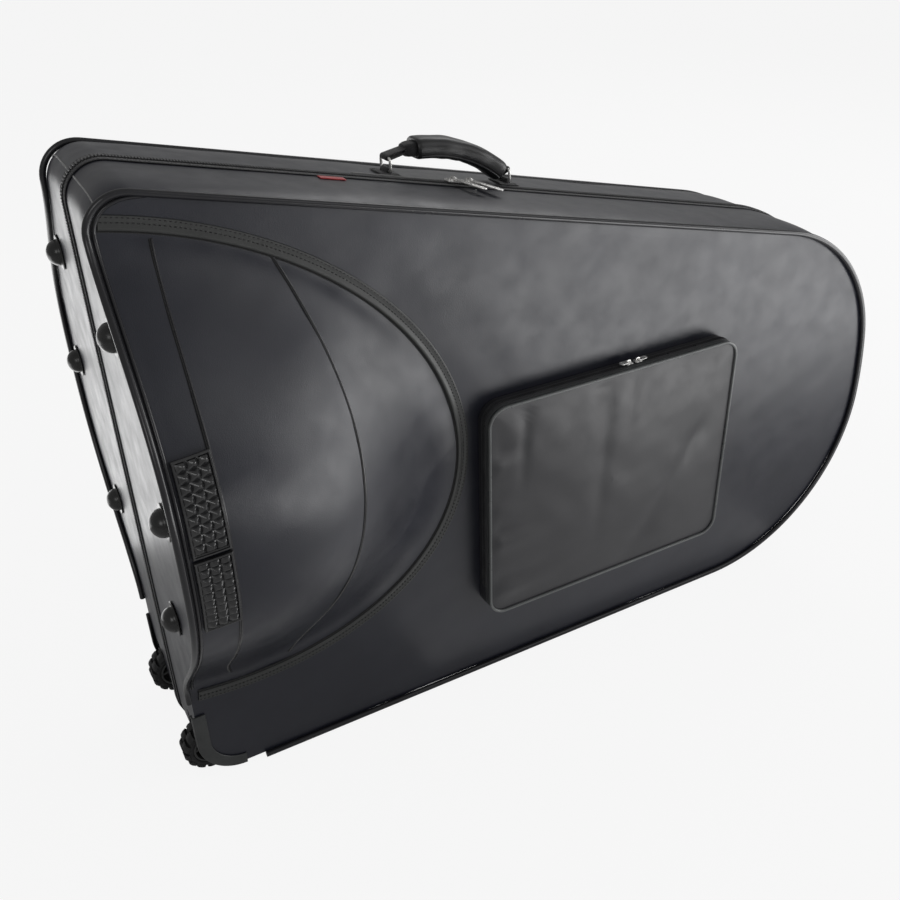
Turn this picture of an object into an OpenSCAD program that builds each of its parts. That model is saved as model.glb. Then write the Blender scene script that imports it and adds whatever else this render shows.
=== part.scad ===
// Wheeled hard case for a tuba: two padded shells hinged along the straight
// bottom side and zipped together round the other three sides, standing on
// that bottom side. X runs from the bell end to the bow end, Y from the front
// shell to the back shell, Z up. The origin is under the middle of the case.

/* [Case] */
// Length from the bell end wall to the bow end, at the zip
case_len = 1030; // [960:5:1120]
// Height of the top line at the bell end wall, at the zip
bell_end_h = 724; // [680:4:780]
// Fall of the top side towards the bow end, in degrees
top_angle = 13; // [11:0.5:15]
// Depth of one shell at its flat face, from the zip
shell_depth = 105; // [95:1:125]
// How far the flat face's outline lies inside the zip's outline
draft = 9; // [5:1:14]
// Depth from the zip over which the side walls stay straight
straight_depth = 55; // [45:1:70]
// Thickness of the foam shell
shell_t = 12; // [9:0.5:15]
// Thickness of the plush lining
lining_t = 3; // [2:0.5:4]
// Width of the gap between the two shells' rims
rim_gap = 2; // [1.5:0.5:4]
// Radius of the top corner at the bell end
top_corner_r = 35; // [25:1:50]
// Radius of the bottom corner at the bell end
bottom_corner_r = 50; // [40:1:60]
// Radius of the bow end's lower round
bow_low_r = 247; // [225:1:260]
// Radius of the bow end's flat front stretch
bow_end_r = 569; // [500:5:650]
// Angle of that flat front stretch
bow_end_angle = 9.5; // [6:0.5:12]

/* [Bell bulge] */
// Reach of the bulge from the bell end wall
bulge_len = 352; // [320:2:380]
// Half of the bulge's height along the end wall
bulge_half = 269; // [240:1:285]
// Height of the bulge's middle at the end wall
bulge_z = 412; // [395:1:425]
// How far the bulge stands out of the flat face
bulge_rise = 140; // [110:2:160]
// Fall of the bulge's middle line, in degrees
bulge_angle = 8.8; // [5:0.2:12]
// Width of the stitched binding round the bulge
binding_w = 14; // [8:1:18]
// Thickness of the binding
binding_t = 1.5; // [1:0.1:2.5]
// Distance of the stud pads from the end wall
pad_x = 8; // [5:1:14]
// Width of the stud pads
pad_w = 36; // [28:1:42]
// Lengths of the upper and lower stud pads
pad_lens = [100, 74];
// Gap between the two stud pads
pad_gap = 5; // [2:1:12]
// Thickness of the stud pads without their studs
pad_t = 3; // [2:0.5:5]
// Height of a stud
stud_h = 4; // [2:0.5:6]

/* [Piping and zip] */
// Radius of the piping round the flat faces
piping_r = 3.5; // [2.5:0.1:5]
// Width of the zip tape on each shell
tape_w = 12; // [9:0.5:15]
// Thickness of the zip tape
tape_t = 1.2; // [0.8:0.1:2]
// Height of the row of teeth on the tape
teeth_h = 1.5; // [1:0.1:2.5]
// Width of one row of teeth
teeth_w = 3; // [2:0.25:4]
// Width of the hinge fabric on each shell
hinge_w = 28; // [20:1:32]
// Thickness of the hinge fabric
hinge_t = 1; // [0.6:0.1:1.2]
// Gap between pieces that lie against each other
seat = 0.3; // [0.2:0.05:0.5]

/* [Wheels and feet] */
// Radius of a wheel
wheel_r = 32.5; // [28:0.5:36]
// Width of a wheel
wheel_w = 28; // [22:1:30]
// Distance of the wheel axle from the end wall
wheel_x = 14; // [10:0.5:18]
// Distance of a wheel's middle from the zip
wheel_y = 75; // [72:0.5:77]
// Radius of the axle
axle_r = 4; // [3:0.5:5]
// Running clearance of a pin in its hole
running = 0.05; // [0.02:0.01:0.1]
// Free space round a wheel in its housing
wheel_room = 4; // [3:0.5:6]
// Wall of the wheel housing
housing_t = 4.5; // [3:0.5:6]
// Number of tread blocks round a wheel
tread_n = 14; // [10:1:18]
// Depth of the tread
tread_h = 4.5; // [2:0.5:6]
// Number of spokes in a wheel
spoke_n = 6; // [4:1:8]
// Width of the corner guard
guard_w = 12; // [8:1:16]
// Height that the corner guard reaches up the end wall
guard_h = 110; // [90:1:120]
// Length of the corner guard along the bottom
guard_len = 56; // [50:1:70]
// Thickness of the corner guard
guard_t = 2; // [1.5:0.1:3]
// Radius of a foot's dome
foot_r = 14; // [10:0.5:16]
// Radius of a foot's flange
flange_r = 19; // [17:0.5:22]
// Thickness of a foot's flange
flange_t = 2; // [1:0.5:3]
// Heights of the feet on the end wall
foot_z = [272, 435, 592];
// Distances of the feet from the zip
foot_y = [130, 197, 129];

/* [Handle] */
// Distance of the first handle ring from the end wall
ring_x = 346; // [300:2:420]
// Distance between the two handle rings
ring_gap = 154; // [140:1:170]
// Distance of the handle from the zip
handle_y = 34; // [30:1:38]
// Outer width of a handle ring
ring_w = 27; // [24:1:32]
// Height of a ring between its two bars
ring_h = 14; // [12:1:16]
// Radius of the ring's wire
wire_r = 1.6; // [1.2:0.1:2]
// Height of the ring's lower bar above the shell
ring_seat_h = 4.2; // [4:0.1:6]
// Width of the grip
grip_w = 34; // [28:1:38]
// Thickness of the padded grip
grip_h = 23; // [18:1:26]
// Radius that the grip is bowed to
grip_r = 165; // [140:5:200]
// Angle that the grip's bow spans
grip_angle = 42; // [30:1:46]
// Thickness of the strap inside the grip
core_t = 6; // [4:0.5:8]

/* [Sliders] */
// Distance of the first zip slider from the end wall
slider_x = 411; // [380:1:430]
// Distance between the two zip sliders
slider_gap = 21; // [20:1:40]
// Length of a zip slider
slider_len = 18; // [12:1:20]
// Width of a zip slider
slider_w = 13; // [10:1:14]
// Height of a zip slider
slider_h = 6; // [5:0.5:8]
// Length of a slider's pull
pull_len = 48; // [34:1:50]
// Width of a slider's pull
pull_w = 9; // [6:0.5:10]
// Thickness of a slider's pull
pull_t = 1.6; // [1:0.1:2.5]
// Angle between the zip and a pull that lies down
pull_angle = 70; // [50:1:90]

/* [Pocket] */
// Distance of the pocket from the bell end wall
pocket_x = 380; // [368:1:410]
// Length of the pocket
pocket_len = 371; // [340:1:390]
// Height of the pocket's lower edge
pocket_z = 108; // [90:1:120]
// Height of the pocket
pocket_h = 300; // [280:1:310]
// Depth of the pocket
pocket_d = 25; // [20:1:35]
// Thickness of the pocket's side band
gusset_t = 3; // [2:0.5:4]
// Thickness of the pocket's front panel
panel_t = 4; // [3:0.5:6]
// Corner radius of the pocket
pocket_r = 24; // [16:1:30]
// Distance of the pocket's first slider from its left edge
pocket_slider_x = 205; // [150:1:260]

/* [Inside] */
// Radius of the bell that the foam blocks hold
bell_r = 215; // [180:1:225]
// Length of the foam blocks at the bell end
bell_block_len = 70; // [50:1:90]
// Radius of the round that the bow block holds
bow_r = 185; // [165:1:195]
// Depth of the bow block
bow_block_d = 70; // [50:1:80]
// Distance of the neck rest from the end wall
neck_x = 430; // [400:2:480]
// Length of the neck rest
neck_len = 60; // [40:1:80]
// Radius of the instrument's neck
neck_r = 60; // [50:1:70]
// Width of the neck strap
strap_w = 38; // [25:1:50]
// Thickness of the neck strap
strap_t = 2; // [1.5:0.1:3]

/* [Tab] */
// Distance of the small side tab from the end wall
tab_x = 246; // [200:2:300]
// Length of the side tab
tab_len = 28; // [20:1:36]
// Width of the side tab
tab_w = 10; // [6:1:14]
// Thickness of the side tab
tab_t = 1; // [0.8:0.1:1.5]

/* [Hidden] */
$fn = 48;

// Colours
cover_c = [0.16, 0.16, 0.18];
lining_c = [0.22, 0.22, 0.25];
piping_c = [0.42, 0.42, 0.45];
plastic_c = [0.1, 0.1, 0.11];
guard_c = [0.33, 0.34, 0.35];
metal_c = [0.75, 0.75, 0.76];
foam_c = [0.3, 0.3, 0.33];
tab_c = [0.6, 0.1, 0.12];

// Places that follow from the sizes
teeth_top = seat + tape_t + teeth_h;
x_mid = (case_len + seat + tape_t + teeth_h + wheel_x - wheel_r) / 2;
wheel_z = wheel_r;
arch_r = wheel_r + wheel_room;
housing_x = wheel_x + arch_r + housing_t;
housing_z = wheel_z + arch_r + housing_t;
cheek_in = wheel_y - wheel_w / 2 - wheel_room / 2;
cheek_out = wheel_y + wheel_w / 2 + wheel_room / 2;
notch_in = cheek_in - housing_t - seat;
face_t = 4;
notch_out = shell_depth - face_t;
hinge_x0 = 60;
hinge_x1 = case_len - bow_low_r - 3;
ring_x2 = ring_x + ring_gap;
pull_lift = teeth_top + slider_h;

// Shape of the bulge's slope
bulge_n = 2.6;
bulge_q = 1.8;

// Number of steps on the outline's rounds
corner_steps = 6;
low_steps = 12;
end_steps = 3;
high_steps = 9;

// Height of the top side at a distance from the end wall
function top_z(x) = bell_end_h - x * tan(top_angle);

// Points on a round, from one angle to another
function round_points(c, r, a0, a1, n) =
  [for (i = [0:n]) let (a = a0 + (a1 - a0) * i / n) [c[0] + r * cos(a), c[1] + r * sin(a)]];

// Radius of the bow end's upper round, which meets the top line
end_c = [case_len - bow_end_r, bow_low_r];
top_n = [sin(top_angle), cos(top_angle)];
top_d = bell_end_h * cos(top_angle);
high_k = sin(bow_end_angle + top_angle);
high_r = (top_d - end_c * top_n - bow_end_r * high_k) / (1 - high_k);
high_c = end_c + (bow_end_r - high_r) * [cos(bow_end_angle), sin(bow_end_angle)];
low_c = [case_len - bow_low_r, bow_low_r];

// The case's outline, moved out by e, with its bell end side at xl
function outline(e, xl = 0) = concat(
  round_points(low_c, bow_low_r + e, -90, 0, low_steps),
  round_points(end_c, bow_end_r + e, bow_end_angle / end_steps, bow_end_angle, end_steps - 1),
  round_points(high_c, high_r + e, bow_end_angle + 6, 90 - top_angle, high_steps),
  round_points([xl + top_corner_r,
    (top_d + e - top_corner_r - (xl + top_corner_r) * sin(top_angle)) / cos(top_angle)],
    top_corner_r, 90 - top_angle, 180, corner_steps),
  round_points([xl + bottom_corner_r, bottom_corner_r - e], bottom_corner_r, 180, 270,
    corner_steps));

// How far the bulge stands out of the flat face at a point of it
bulge_k = tan(bulge_angle);
function bulge(x, z) =
  let (r = norm([x / bulge_len, (z - bulge_z + bulge_k * x) / bulge_half]))
  r >= 1 ? 0 : bulge_rise * pow(1 - pow(r, bulge_n), bulge_q);

// A point on a line at a share r of the bulge's size and an angle a
function bulge_point(r, a, inset = 0) =
  [(bulge_len - inset) * r * cos(a),
   bulge_z + (bulge_half - inset) * r * sin(a) - bulge_k * bulge_len * r * cos(a)];

// Puts the whole case's parts in the frame whose origin is under its middle
module place() {
  translate([-x_mid, 0, 0]) children();
}

// Makes a front part out of its back twin
module front() {
  mirror([0, 1, 0]) children();
}

// Extrudes a shape drawn in X and Z from y0 to y1
module slab(y0, y1) {
  translate([0, y1, 0]) rotate([90, 0, 0]) linear_extrude(y1 - y0) children();
}

// Sets a part on the top side, X down the slope and Z out of it
module on_top(x, y, lift = 0) {
  translate([x, y, top_z(x)]) rotate([0, top_angle, 0]) translate([0, 0, lift]) children();
}

// A padded solid with the case's outline and its side walls bowed towards the flat face
layers = 4;
module tray(inset, y0, y1) {
  slab(y0, straight_depth) polygon(outline(-inset, inset));
  for (i = [0:layers - 1]) hull() for (t = [i, i + 1] / layers)
    translate([0, straight_depth + (y1 - straight_depth) * sin(90 * t), 0])
      slab(-0.02, 0) polygon(outline(-inset - draft * (1 - cos(90 * t)), inset));
}

// The bulge as a solid that starts inset mm inside the flat face
rings = 12;
rays = 20;
module bell_dome(inset, root) {
  line = [for (i = [1:rings]) for (j = [0:rays])
    let (r = i / rings, a = -90 + 180 * j / rays, p = bulge_point(r, a, inset),
      h = bulge_rise * pow(1 - pow(r, bulge_n), bulge_q))
    [p[0] + inset, shell_depth - inset + h, p[1]]];
  tip = [inset, shell_depth - inset + bulge_rise, bulge_z];
  edge = concat([for (j = [0:rays]) (rings - 1) * (rays + 1) + j],
    [for (i = [rings - 2:-1:0]) i * (rays + 1) + rays], [rings * (rays + 1)],
    [for (i = [0:rings - 2]) i * (rays + 1)]);
  n = len(edge);
  base = rings * (rays + 1) + 1;
  foot = [for (k = edge) let (p = k == base - 1 ? tip : line[k])
    [p[0], shell_depth - inset - root, p[2]]];
  faces = concat(
    [for (j = [0:rays - 1]) [base - 1, j, j + 1]],
    [for (i = [0:rings - 2]) for (j = [0:rays - 1]) let (k = i * (rays + 1) + j)
      [k, k + rays + 1, k + rays + 2]],
    [for (i = [0:rings - 2]) for (j = [0:rays - 1]) let (k = i * (rays + 1) + j)
      [k, k + rays + 2, k + 1]],
    [for (i = [0:n - 1]) [edge[i], base + i, base + (i + 1) % n]],
    [for (i = [0:n - 1]) [edge[i], base + (i + 1) % n, edge[(i + 1) % n]]],
    [[for (i = [n - 1:-1:0]) base + i]]);
  polyhedron(concat(line, [tip], foot), faces, convexity = 6);
}

// A tube swept along points, closed flat at both ends
function unit(v) = v / norm(v);
module tube_along(p, r, sides = 8) {
  n = len(p);
  rings_p = [for (i = [0:n - 1])
    let (t = unit(p[min(i + 1, n - 1)] - p[max(i - 1, 0)]), u = unit(cross(t, [0, 1, 0])),
      v = cross(u, t))
    for (j = [0:sides - 1]) p[i] + r * (cos(360 * j / sides) * u + sin(360 * j / sides) * v)];
  faces = concat(
    [for (i = [0:n - 2]) for (j = [0:sides - 1])
      let (a = i * sides + j, b = i * sides + (j + 1) % sides) [a, b, b + sides]],
    [for (i = [0:n - 2]) for (j = [0:sides - 1])
      let (a = i * sides + j, b = i * sides + (j + 1) % sides) [a, b + sides, a + sides]],
    [[for (j = [sides - 1:-1:0]) j]],
    [[for (j = [0:sides - 1]) (n - 1) * sides + j]]);
  polyhedron(rings_p, faces, convexity = 10);
}

module wheel_notch() {
  translate([-1, notch_in, -1]) cube([housing_x + seat + 1, notch_out - notch_in, housing_z + seat + 1]);
}

module shell_half() {
  color(cover_c) place() difference() {
    union() {
      tray(0, rim_gap / 2, shell_depth);
      bell_dome(0, face_t);
    }
    tray(shell_t, -1, shell_depth - shell_t);
    bell_dome(shell_t, face_t);
    wheel_notch();
    translate([hinge_x0 - 1, 0, -1]) cube([hinge_x1 - hinge_x0 + 2, hinge_w + 1, 1 + hinge_t + 2 * seat]);
  }
}

module lining_half() {
  ease = 0.5;
  inset = shell_t + seat;
  inner = inset + lining_t;
  color(lining_c) place() difference() {
    union() {
      tray(inset, rim_gap / 2 + 1, shell_depth - inset);
      bell_dome(inset + ease, face_t - ease - 2 * seat);
    }
    tray(inner, -1, shell_depth - inner);
    bell_dome(inner + ease, face_t + 1);
    translate([0, notch_in - lining_t, 0])
      cube([housing_x + lining_t, shell_depth, housing_z + lining_t]);
  }
}

// The piping stands on the edge between the flat face and the side walls
edge_out = (piping_r + seat) * cos(45);
function bulge_slope(z) = (bulge(0, z + 1) - bulge(0, z - 1)) / 2;
module piping_half() {
  side = outline(edge_out - draft, -edge_out);
  first = low_steps + 1 + end_steps + high_steps + 1;
  start = [[guard_len + 12, draft - edge_out]];
  round = [for (i = [0:first + corner_steps - 1]) side[i]];
  left = [for (i = [rings - 1:-1:-rings]) [-edge_out, bulge_z + bulge_half * i / rings]];
  path = [for (p = concat(start, round, left, [[-edge_out, guard_h + 12]]))
    let (s = p[0] < 0 ? bulge_slope(p[1]) : 0)
    [p[0], shell_depth + edge_out * sqrt(1 + s * s) + (p[0] < 0 ? bulge(0, p[1]) : 0), p[1]]];
  color(piping_c) place() tube_along(path, piping_r);
}

// Leaves out the bottom side, where the hinge fabric is
module above_bottom(z) {
  translate([-shell_depth, -shell_depth, z])
    cube([case_len + 2 * shell_depth, 2 * shell_depth, bell_end_h]);
}

module tape_ring(e0, e1) {
  difference() {
    polygon(outline(e1, -e1));
    polygon(outline(e0, -e0));
  }
}

zip_start = 30;
module zip_tape_half() {
  color(plastic_c) place() intersection() {
    union() {
      slab(rim_gap / 2, tape_w) tape_ring(seat, seat + tape_t);
      slab(rim_gap / 2, teeth_w + rim_gap / 2) tape_ring(seat + tape_t / 2, teeth_top);
    }
    above_bottom(zip_start);
  }
}

// Fabric that joins the two shells along the bottom side, let into them
module hinge_strip_half() {
  color(cover_c) place() translate([hinge_x0, seat, seat])
    cube([hinge_x1 - hinge_x0, hinge_w - seat, hinge_t]);
}

module bell_binding_half() {
  inner = [for (i = [0:36]) bulge_point(1, -90 + 5 * i)];
  outer = [for (i = [36:-1:0]) bulge_point(1, -90 + 5 * i, -binding_w)];
  color(cover_c) place() intersection() {
    slab(shell_depth + seat, shell_depth + seat + binding_t) polygon(concat(inner, outer));
    slab(shell_depth, shell_depth + 2 * binding_t)
      polygon(outline(edge_out - draft - piping_r - seat, piping_r + seat - edge_out));
  }
}

// A pad that follows the bulge: a rim, and a field of pyramids inside it
stud_cols = 3;
stud_pitch = pad_w / (stud_cols + 0.5);
module stud_pad(z0, z1) {
  rows = floor((z1 - z0) / stud_pitch);
  pitch = (z1 - z0) / (rows + 0.5);
  nx = stud_cols + 2;
  nz = rows + 2;
  m = nx + 1;
  xs = [for (j = [0:nx]) pad_x + (j == 0 ? 0 : j == nx ? pad_w : stud_pitch * (j - 0.75))];
  zs = [for (i = [0:nz]) z0 + (i == 0 ? 0 : i == nz ? z1 - z0 : pitch * (i - 0.75))];
  y0 = shell_depth + seat + 0.4;
  low = [for (z = zs) for (x = xs) [x, y0 + bulge(x, z), z]];
  high = [for (i = [0:nz]) for (j = [0:nx])
    let (rim = i == 0 || j == 0 || i == nz || j == nx ? 1.2 : 0)
    [xs[j], y0 + bulge(xs[j], zs[i]) + pad_t + rim, zs[i]]];
  tips = [for (i = [1:rows]) for (j = [1:stud_cols])
    let (x = (xs[j] + xs[j + 1]) / 2, z = (zs[i] + zs[i + 1]) / 2)
    [x, y0 + bulge(x, z) + pad_t + stud_h, z]];
  n = m * (nz + 1);
  edge = concat([for (j = [0:nx]) j], [for (i = [1:nz]) i * m + nx],
    [for (j = [nx - 1:-1:0]) nz * m + j], [for (i = [nz - 1:-1:1]) i * m]);
  k = len(edge);
  cells = [for (i = [0:nz - 1]) for (j = [0:nx - 1]) [i, j, i * m + j]];
  faces = concat(
    [for (c = cells) for (f = [[0, m + 1, 1], [0, m, m + 1]]) [c[2], c[2] + f[1], c[2] + f[2]]],
    [for (c = cells) for (f = c[0] > 0 && c[0] < nz - 1 && c[1] > 0 && c[1] < nx - 1
        ? let (t = 2 * n - n - c[2] + (c[0] - 1) * stud_cols + c[1] - 1)
          [[0, 1, t], [1, m + 1, t], [m + 1, m, t], [m, 0, t]]
        : [[0, 1, m + 1], [0, m + 1, m]]) [for (v = f) n + c[2] + v]],
    [for (i = [0:k - 1]) [edge[i], n + edge[(i + 1) % k], n + edge[i]]],
    [for (i = [0:k - 1]) [edge[i], edge[(i + 1) % k], n + edge[(i + 1) % k]]]);
  polyhedron(concat(low, high, tips), faces, convexity = 6);
}

module stud_pads_half() {
  mid = bulge_z - 3;
  color(plastic_c) place() {
    stud_pad(mid + pad_gap / 2, mid + pad_gap / 2 + pad_lens[0]);
    stud_pad(mid - pad_gap / 2 - pad_lens[1], mid - pad_gap / 2);
  }
}

module foot() {
  rotate([0, -90, 0]) {
    cylinder(r = flange_r, h = flange_t);
    difference() {
      translate([0, 0, flange_t / 2]) sphere(r = foot_r);
      translate([0, 0, -foot_r]) cube(2 * foot_r, center = true);
    }
  }
}

module feet_half() {
  color(plastic_c) place() for (i = [0:2])
    translate([-seat, foot_y[i], foot_z[i]]) foot();
}

// The space that a wheel turns in, open at the corner
module wheel_arch(y0, y1) {
  far = 60;
  slab(y0, y1) union() {
    translate([wheel_x, wheel_z]) circle(r = arch_r);
    translate([-far, -far]) square([far + wheel_x + arch_r, far + wheel_z]);
    translate([-far, -far]) square([far + wheel_x, far + wheel_z + arch_r]);
  }
}

module wheel_housing_half() {
  color(plastic_c) place() difference() {
    intersection() {
      translate([0, notch_in + seat, 0])
        cube([housing_x, notch_out - notch_in - 2 * seat, housing_z]);
      slab(notch_in, notch_out) polygon(outline(-draft - 1, 1));
    }
    wheel_arch(cheek_in, cheek_out);
    translate([wheel_x, shell_depth, wheel_z]) rotate([90, 0, 0])
      cylinder(r = axle_r + running, h = shell_depth);
  }
}

// The guard wraps the edge of the corner in front of the wheel
module corner_box(x, z) {
  translate([-20, 0, -20]) cube([x + 20, 2 * shell_depth, z + 20]);
}

module corner_guard_half() {
  wrap = 2;
  color(guard_c) place() intersection() {
    union() {
      slab(shell_depth + seat, shell_depth + seat + guard_t) difference() {
        polygon(outline(wrap + guard_t - draft, -wrap - guard_t));
        polygon(outline(-draft - guard_w, guard_w));
      }
      slab(shell_depth - 6, shell_depth + seat + guard_t) difference() {
        polygon(outline(wrap + guard_t - draft, -wrap - guard_t));
        polygon(outline(wrap - draft, -wrap));
      }
    }
    difference() {
      corner_box(guard_len, guard_h);
      translate([bottom_corner_r + 20, 0, bottom_corner_r + 20])
        cube([case_len, 2 * shell_depth, case_len]);
      tray(-seat, 0, shell_depth + seat / 2);
    }
  }
}

module axle_half() {
  y0 = notch_in + 2 * seat;
  y1 = notch_out - 2 * seat;
  color(metal_c) place() translate([wheel_x, y1, wheel_z]) rotate([90, 0, 0])
    cylinder(r = axle_r, h = y1 - y0);
}

module wheel_at() {
  place() translate([wheel_x, wheel_y + wheel_w / 2, wheel_z]) rotate([90, 0, 0]) children();
}

tyre_in = wheel_r * 0.66;
module wheel_tyre_half() {
  core_r = wheel_r - tread_h;
  color(plastic_c) wheel_at() intersection() {
    difference() {
      union() {
        cylinder(r = core_r, h = wheel_w);
        for (i = [0:tread_n - 1]) for (s = [0, 1])
          rotate([0, 0, 360 * (i + s / 2) / tread_n])
            translate([core_r - 2, -PI * wheel_r / tread_n * 0.55, s * wheel_w * 0.45])
            cube([tread_h + 4, PI * wheel_r / tread_n * 1.1, wheel_w * 0.55]);
      }
      translate([0, 0, -1]) cylinder(r = tyre_in, h = wheel_w + 2);
    }
    cylinder(r = wheel_r, h = wheel_w);
  }
}

boss_r = axle_r + 4.5;
module wheel_hub_half() {
  rim_w = 3;
  inset = 3;
  color(guard_c) wheel_at() difference() {
    union() {
      translate([0, 0, 1]) difference() {
        cylinder(r = tyre_in - seat, h = wheel_w - 2);
        translate([0, 0, -1]) cylinder(r = tyre_in - seat - rim_w, h = wheel_w);
      }
      cylinder(r = boss_r, h = wheel_w);
      for (i = [0:spoke_n - 1]) rotate([0, 0, 360 * i / spoke_n])
        translate([boss_r - 1, -2, inset]) cube([tyre_in - rim_w - boss_r + 1, 4, wheel_w - 2 * inset]);
    }
    translate([0, 0, -1]) cylinder(r = axle_r + running, h = wheel_w + 2);
  }
}

// Foam blocks above and below the bell, near the end wall
module bell_blocks_half() {
  wall = shell_t + lining_t + 3 * seat;
  depth = shell_depth - wall;
  color(foam_c) place() intersection() {
    translate([wall, 0, 0]) rotate([90, 0, 90]) linear_extrude(bell_block_len) difference() {
      union() {
        translate([rim_gap, bulge_z + bell_r * 0.75])
          square([depth - rim_gap, top_z(wall + bell_block_len) - draft - wall - bulge_z - bell_r * 0.75]);
        translate([rim_gap, housing_z + 8])
          square([depth - rim_gap, bulge_z - bell_r * 0.75 - housing_z - 8]);
      }
      translate([0, bulge_z]) circle(r = bell_r);
    }
    slab(0, shell_depth) polygon(outline(-draft - wall, wall));
  }
}

module bow_block() {
  wall = shell_t + lining_t + 3 * seat;
  end_foam = 50;
  rise = 25;
  hold = [case_len - wall - bow_r - end_foam, low_c[1] + rise];
  color(foam_c) place() slab(shell_depth - wall - bow_block_d, shell_depth - wall)
    intersection() {
      difference() {
        polygon(outline(-draft - wall, wall));
        translate(hold) circle(r = bow_r);
      }
      translate([hold[0] + bow_r * 0.25, hold[1] - bow_r]) square([bow_r * 3, bow_r * 2]);
    }
}

neck_z = bulge_z - bulge_k * neck_x - 30;
neck_half = neck_r + 40;
module neck_rest() {
  wall = shell_t + lining_t + 3 * seat;
  y1 = shell_depth - wall;
  color(foam_c) place() translate([neck_x, 0, 0]) rotate([90, 0, 90]) linear_extrude(neck_len)
    difference() {
      translate([4, neck_z - neck_half]) square([y1 - 4, 2 * neck_half]);
      translate([4, neck_z]) circle(r = neck_r);
    }
}

module neck_strap() {
  color(plastic_c) place() translate([neck_x + neck_len / 2 - strap_w / 2, 4 - seat - strap_t, neck_z - neck_half + 4])
    cube([strap_w, strap_t, 2 * neck_half - 8]);
}

// The rings' lower bars turn in two anchors on the back shell's top side
function ring_seat(x) = [x, handle_y, top_z(x) + ring_seat_h / cos(top_angle)];
eye_r = wire_r + 2;
loop_w = ring_w - 4 * wire_r - 3;
module anchor(x) {
  p = ring_seat(x);
  difference() {
    union() {
      translate(p) rotate([90, 0, 0]) cylinder(r = eye_r, h = loop_w, center = true);
      on_top(x, handle_y, seat) translate([-13, -ring_w / 2 - 2, 0]) cube([26, ring_w + 4, 1.2]);
      translate(p) rotate([0, top_angle, 0]) translate([-eye_r, -loop_w / 2, seat - ring_seat_h])
        cube([2 * eye_r, loop_w, ring_seat_h - seat]);
    }
    translate(p) rotate([90, 0, 0]) cylinder(r = wire_r + running, h = ring_w * 2, center = true);
  }
}

module handle_anchors() {
  color(plastic_c) place() {
    anchor(ring_x);
    anchor(ring_x2);
  }
}

// A rectangular wire ring, its two bars along Y
module ring(x) {
  w = ring_w / 2 - wire_r;
  color(metal_c) place() translate(ring_seat(x)) {
    for (h = [0, ring_h]) translate([0, 0, h]) rotate([90, 0, 0])
      cylinder(r = wire_r, h = 2 * w + 1, center = true);
    for (s = [-1, 1]) translate([0, s * w, -wire_r - 0.2]) cylinder(r = wire_r + 0.1, h = ring_h + 2 * wire_r + 0.4);
  }
}

// The grip is bowed about a middle under its left end
grip_start = [ring_x + 34, top_z(ring_x) + 23];
function rounded(w, h, r) = concat(
  round_points([w / 2 - r, h / 2 - r], r, 0, 90, 5), round_points([r - w / 2, h / 2 - r], r, 90, 180, 5),
  round_points([r - w / 2, r - h / 2], r, 180, 270, 5), round_points([w / 2 - r, r - h / 2], r, 270, 360, 5));
module bow(a) {
  translate([grip_start[0], handle_y, grip_start[1] - grip_r]) rotate([90, 0, 0])
    rotate([0, 0, 90 - a]) rotate_extrude(angle = a, $fn = 96) translate([grip_r, 0]) children();
}

module handle_grip() {
  color(plastic_c) place() bow(grip_angle) difference() {
    polygon(rounded(grip_h, grip_w, grip_h * 0.42));
    square([core_t + 2 * seat, loop_w + 2 * seat], center = true);
  }
}

// The strap runs through the grip and round the rings' upper bars
grip_end = grip_start + grip_r * [sin(grip_angle), cos(grip_angle) - 1];
module strap_end(x, to, clear) {
  top = ring_seat(x) + [0, 0, ring_h];
  d = [to[0] - top[0], to[1] - top[2]];
  translate(top) rotate([90, 0, 0]) difference() {
    union() {
      cylinder(r = wire_r + 2, h = loop_w, center = true);
      rotate([0, 0, atan2(d[1], d[0])]) translate([wire_r + 1, -1.5, (seat - loop_w) / 2])
        cube([norm(d) - wire_r, 3, loop_w - seat]);
    }
    cylinder(r = wire_r + clear, h = loop_w + 2, center = true);
  }
}

module handle_strap() {
  color(plastic_c) place() {
    strap_end(ring_x, grip_start, running);
    strap_end(ring_x2, grip_end, 0.4);
    bow(grip_angle) square([core_t, loop_w - 2 * seat], center = true);
  }
}

// A zip slider on the top side, whose pull hangs from the bridge on it
bridge_r = 2.2;
module slider(x) {
  color(metal_c) place() on_top(x, 0, teeth_top + seat) difference() {
    union() {
      translate([-slider_len / 2, -slider_w / 2, 0]) cube([slider_len, slider_w, 2]);
      rotate([0, 0, 90 - pull_angle]) translate([-2, -slider_w * 0.4, 1.5])
        cube([4, slider_w * 0.8, slider_h - 1.5]);
    }
    rotate([0, 0, 90 - pull_angle]) translate([0, 0, slider_h - bridge_r - 0.4]) rotate([0, 90, 0])
      cylinder(r = 1 + running, h = slider_w * 2, center = true);
  }
}

// Pull frame: X along its hinge, Y away from the zip on the front side
module pull_at(x) {
  place() on_top(x, 0, teeth_top + seat + slider_h - bridge_r - 0.4)
    rotate([0, 0, 90 - pull_angle]) mirror([0, 1, 0]) children();
}

module pull(x) {
  color(metal_c) pull_at(x) {
    rotate([0, 90, 0]) cylinder(r = 1, h = pull_w, center = true);
    difference() {
      union() {
        for (s = [-1, 1]) translate([s * (pull_w / 2 - 1) - 1, 0, -pull_t / 2])
          cube([2, 9, pull_t]);
        translate([-pull_w / 2, 8, -pull_t / 2]) cube([pull_w, pull_len - 8 - pull_w / 2, pull_t]);
        translate([0, pull_len - pull_w / 2, -pull_t / 2]) cylinder(r = pull_w / 2, h = pull_t);
      }
      translate([0, pull_len - pull_w / 2, -pull_t]) cylinder(r = pull_w / 4, h = 2 * pull_t);
    }
  }
}

module left_slider() {
  slider(slider_x);
}

module right_slider() {
  slider(slider_x + slider_gap);
}

module left_pull() {
  pull(slider_x);
}

module right_pull() {
  pull(slider_x + slider_gap);
}

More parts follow.
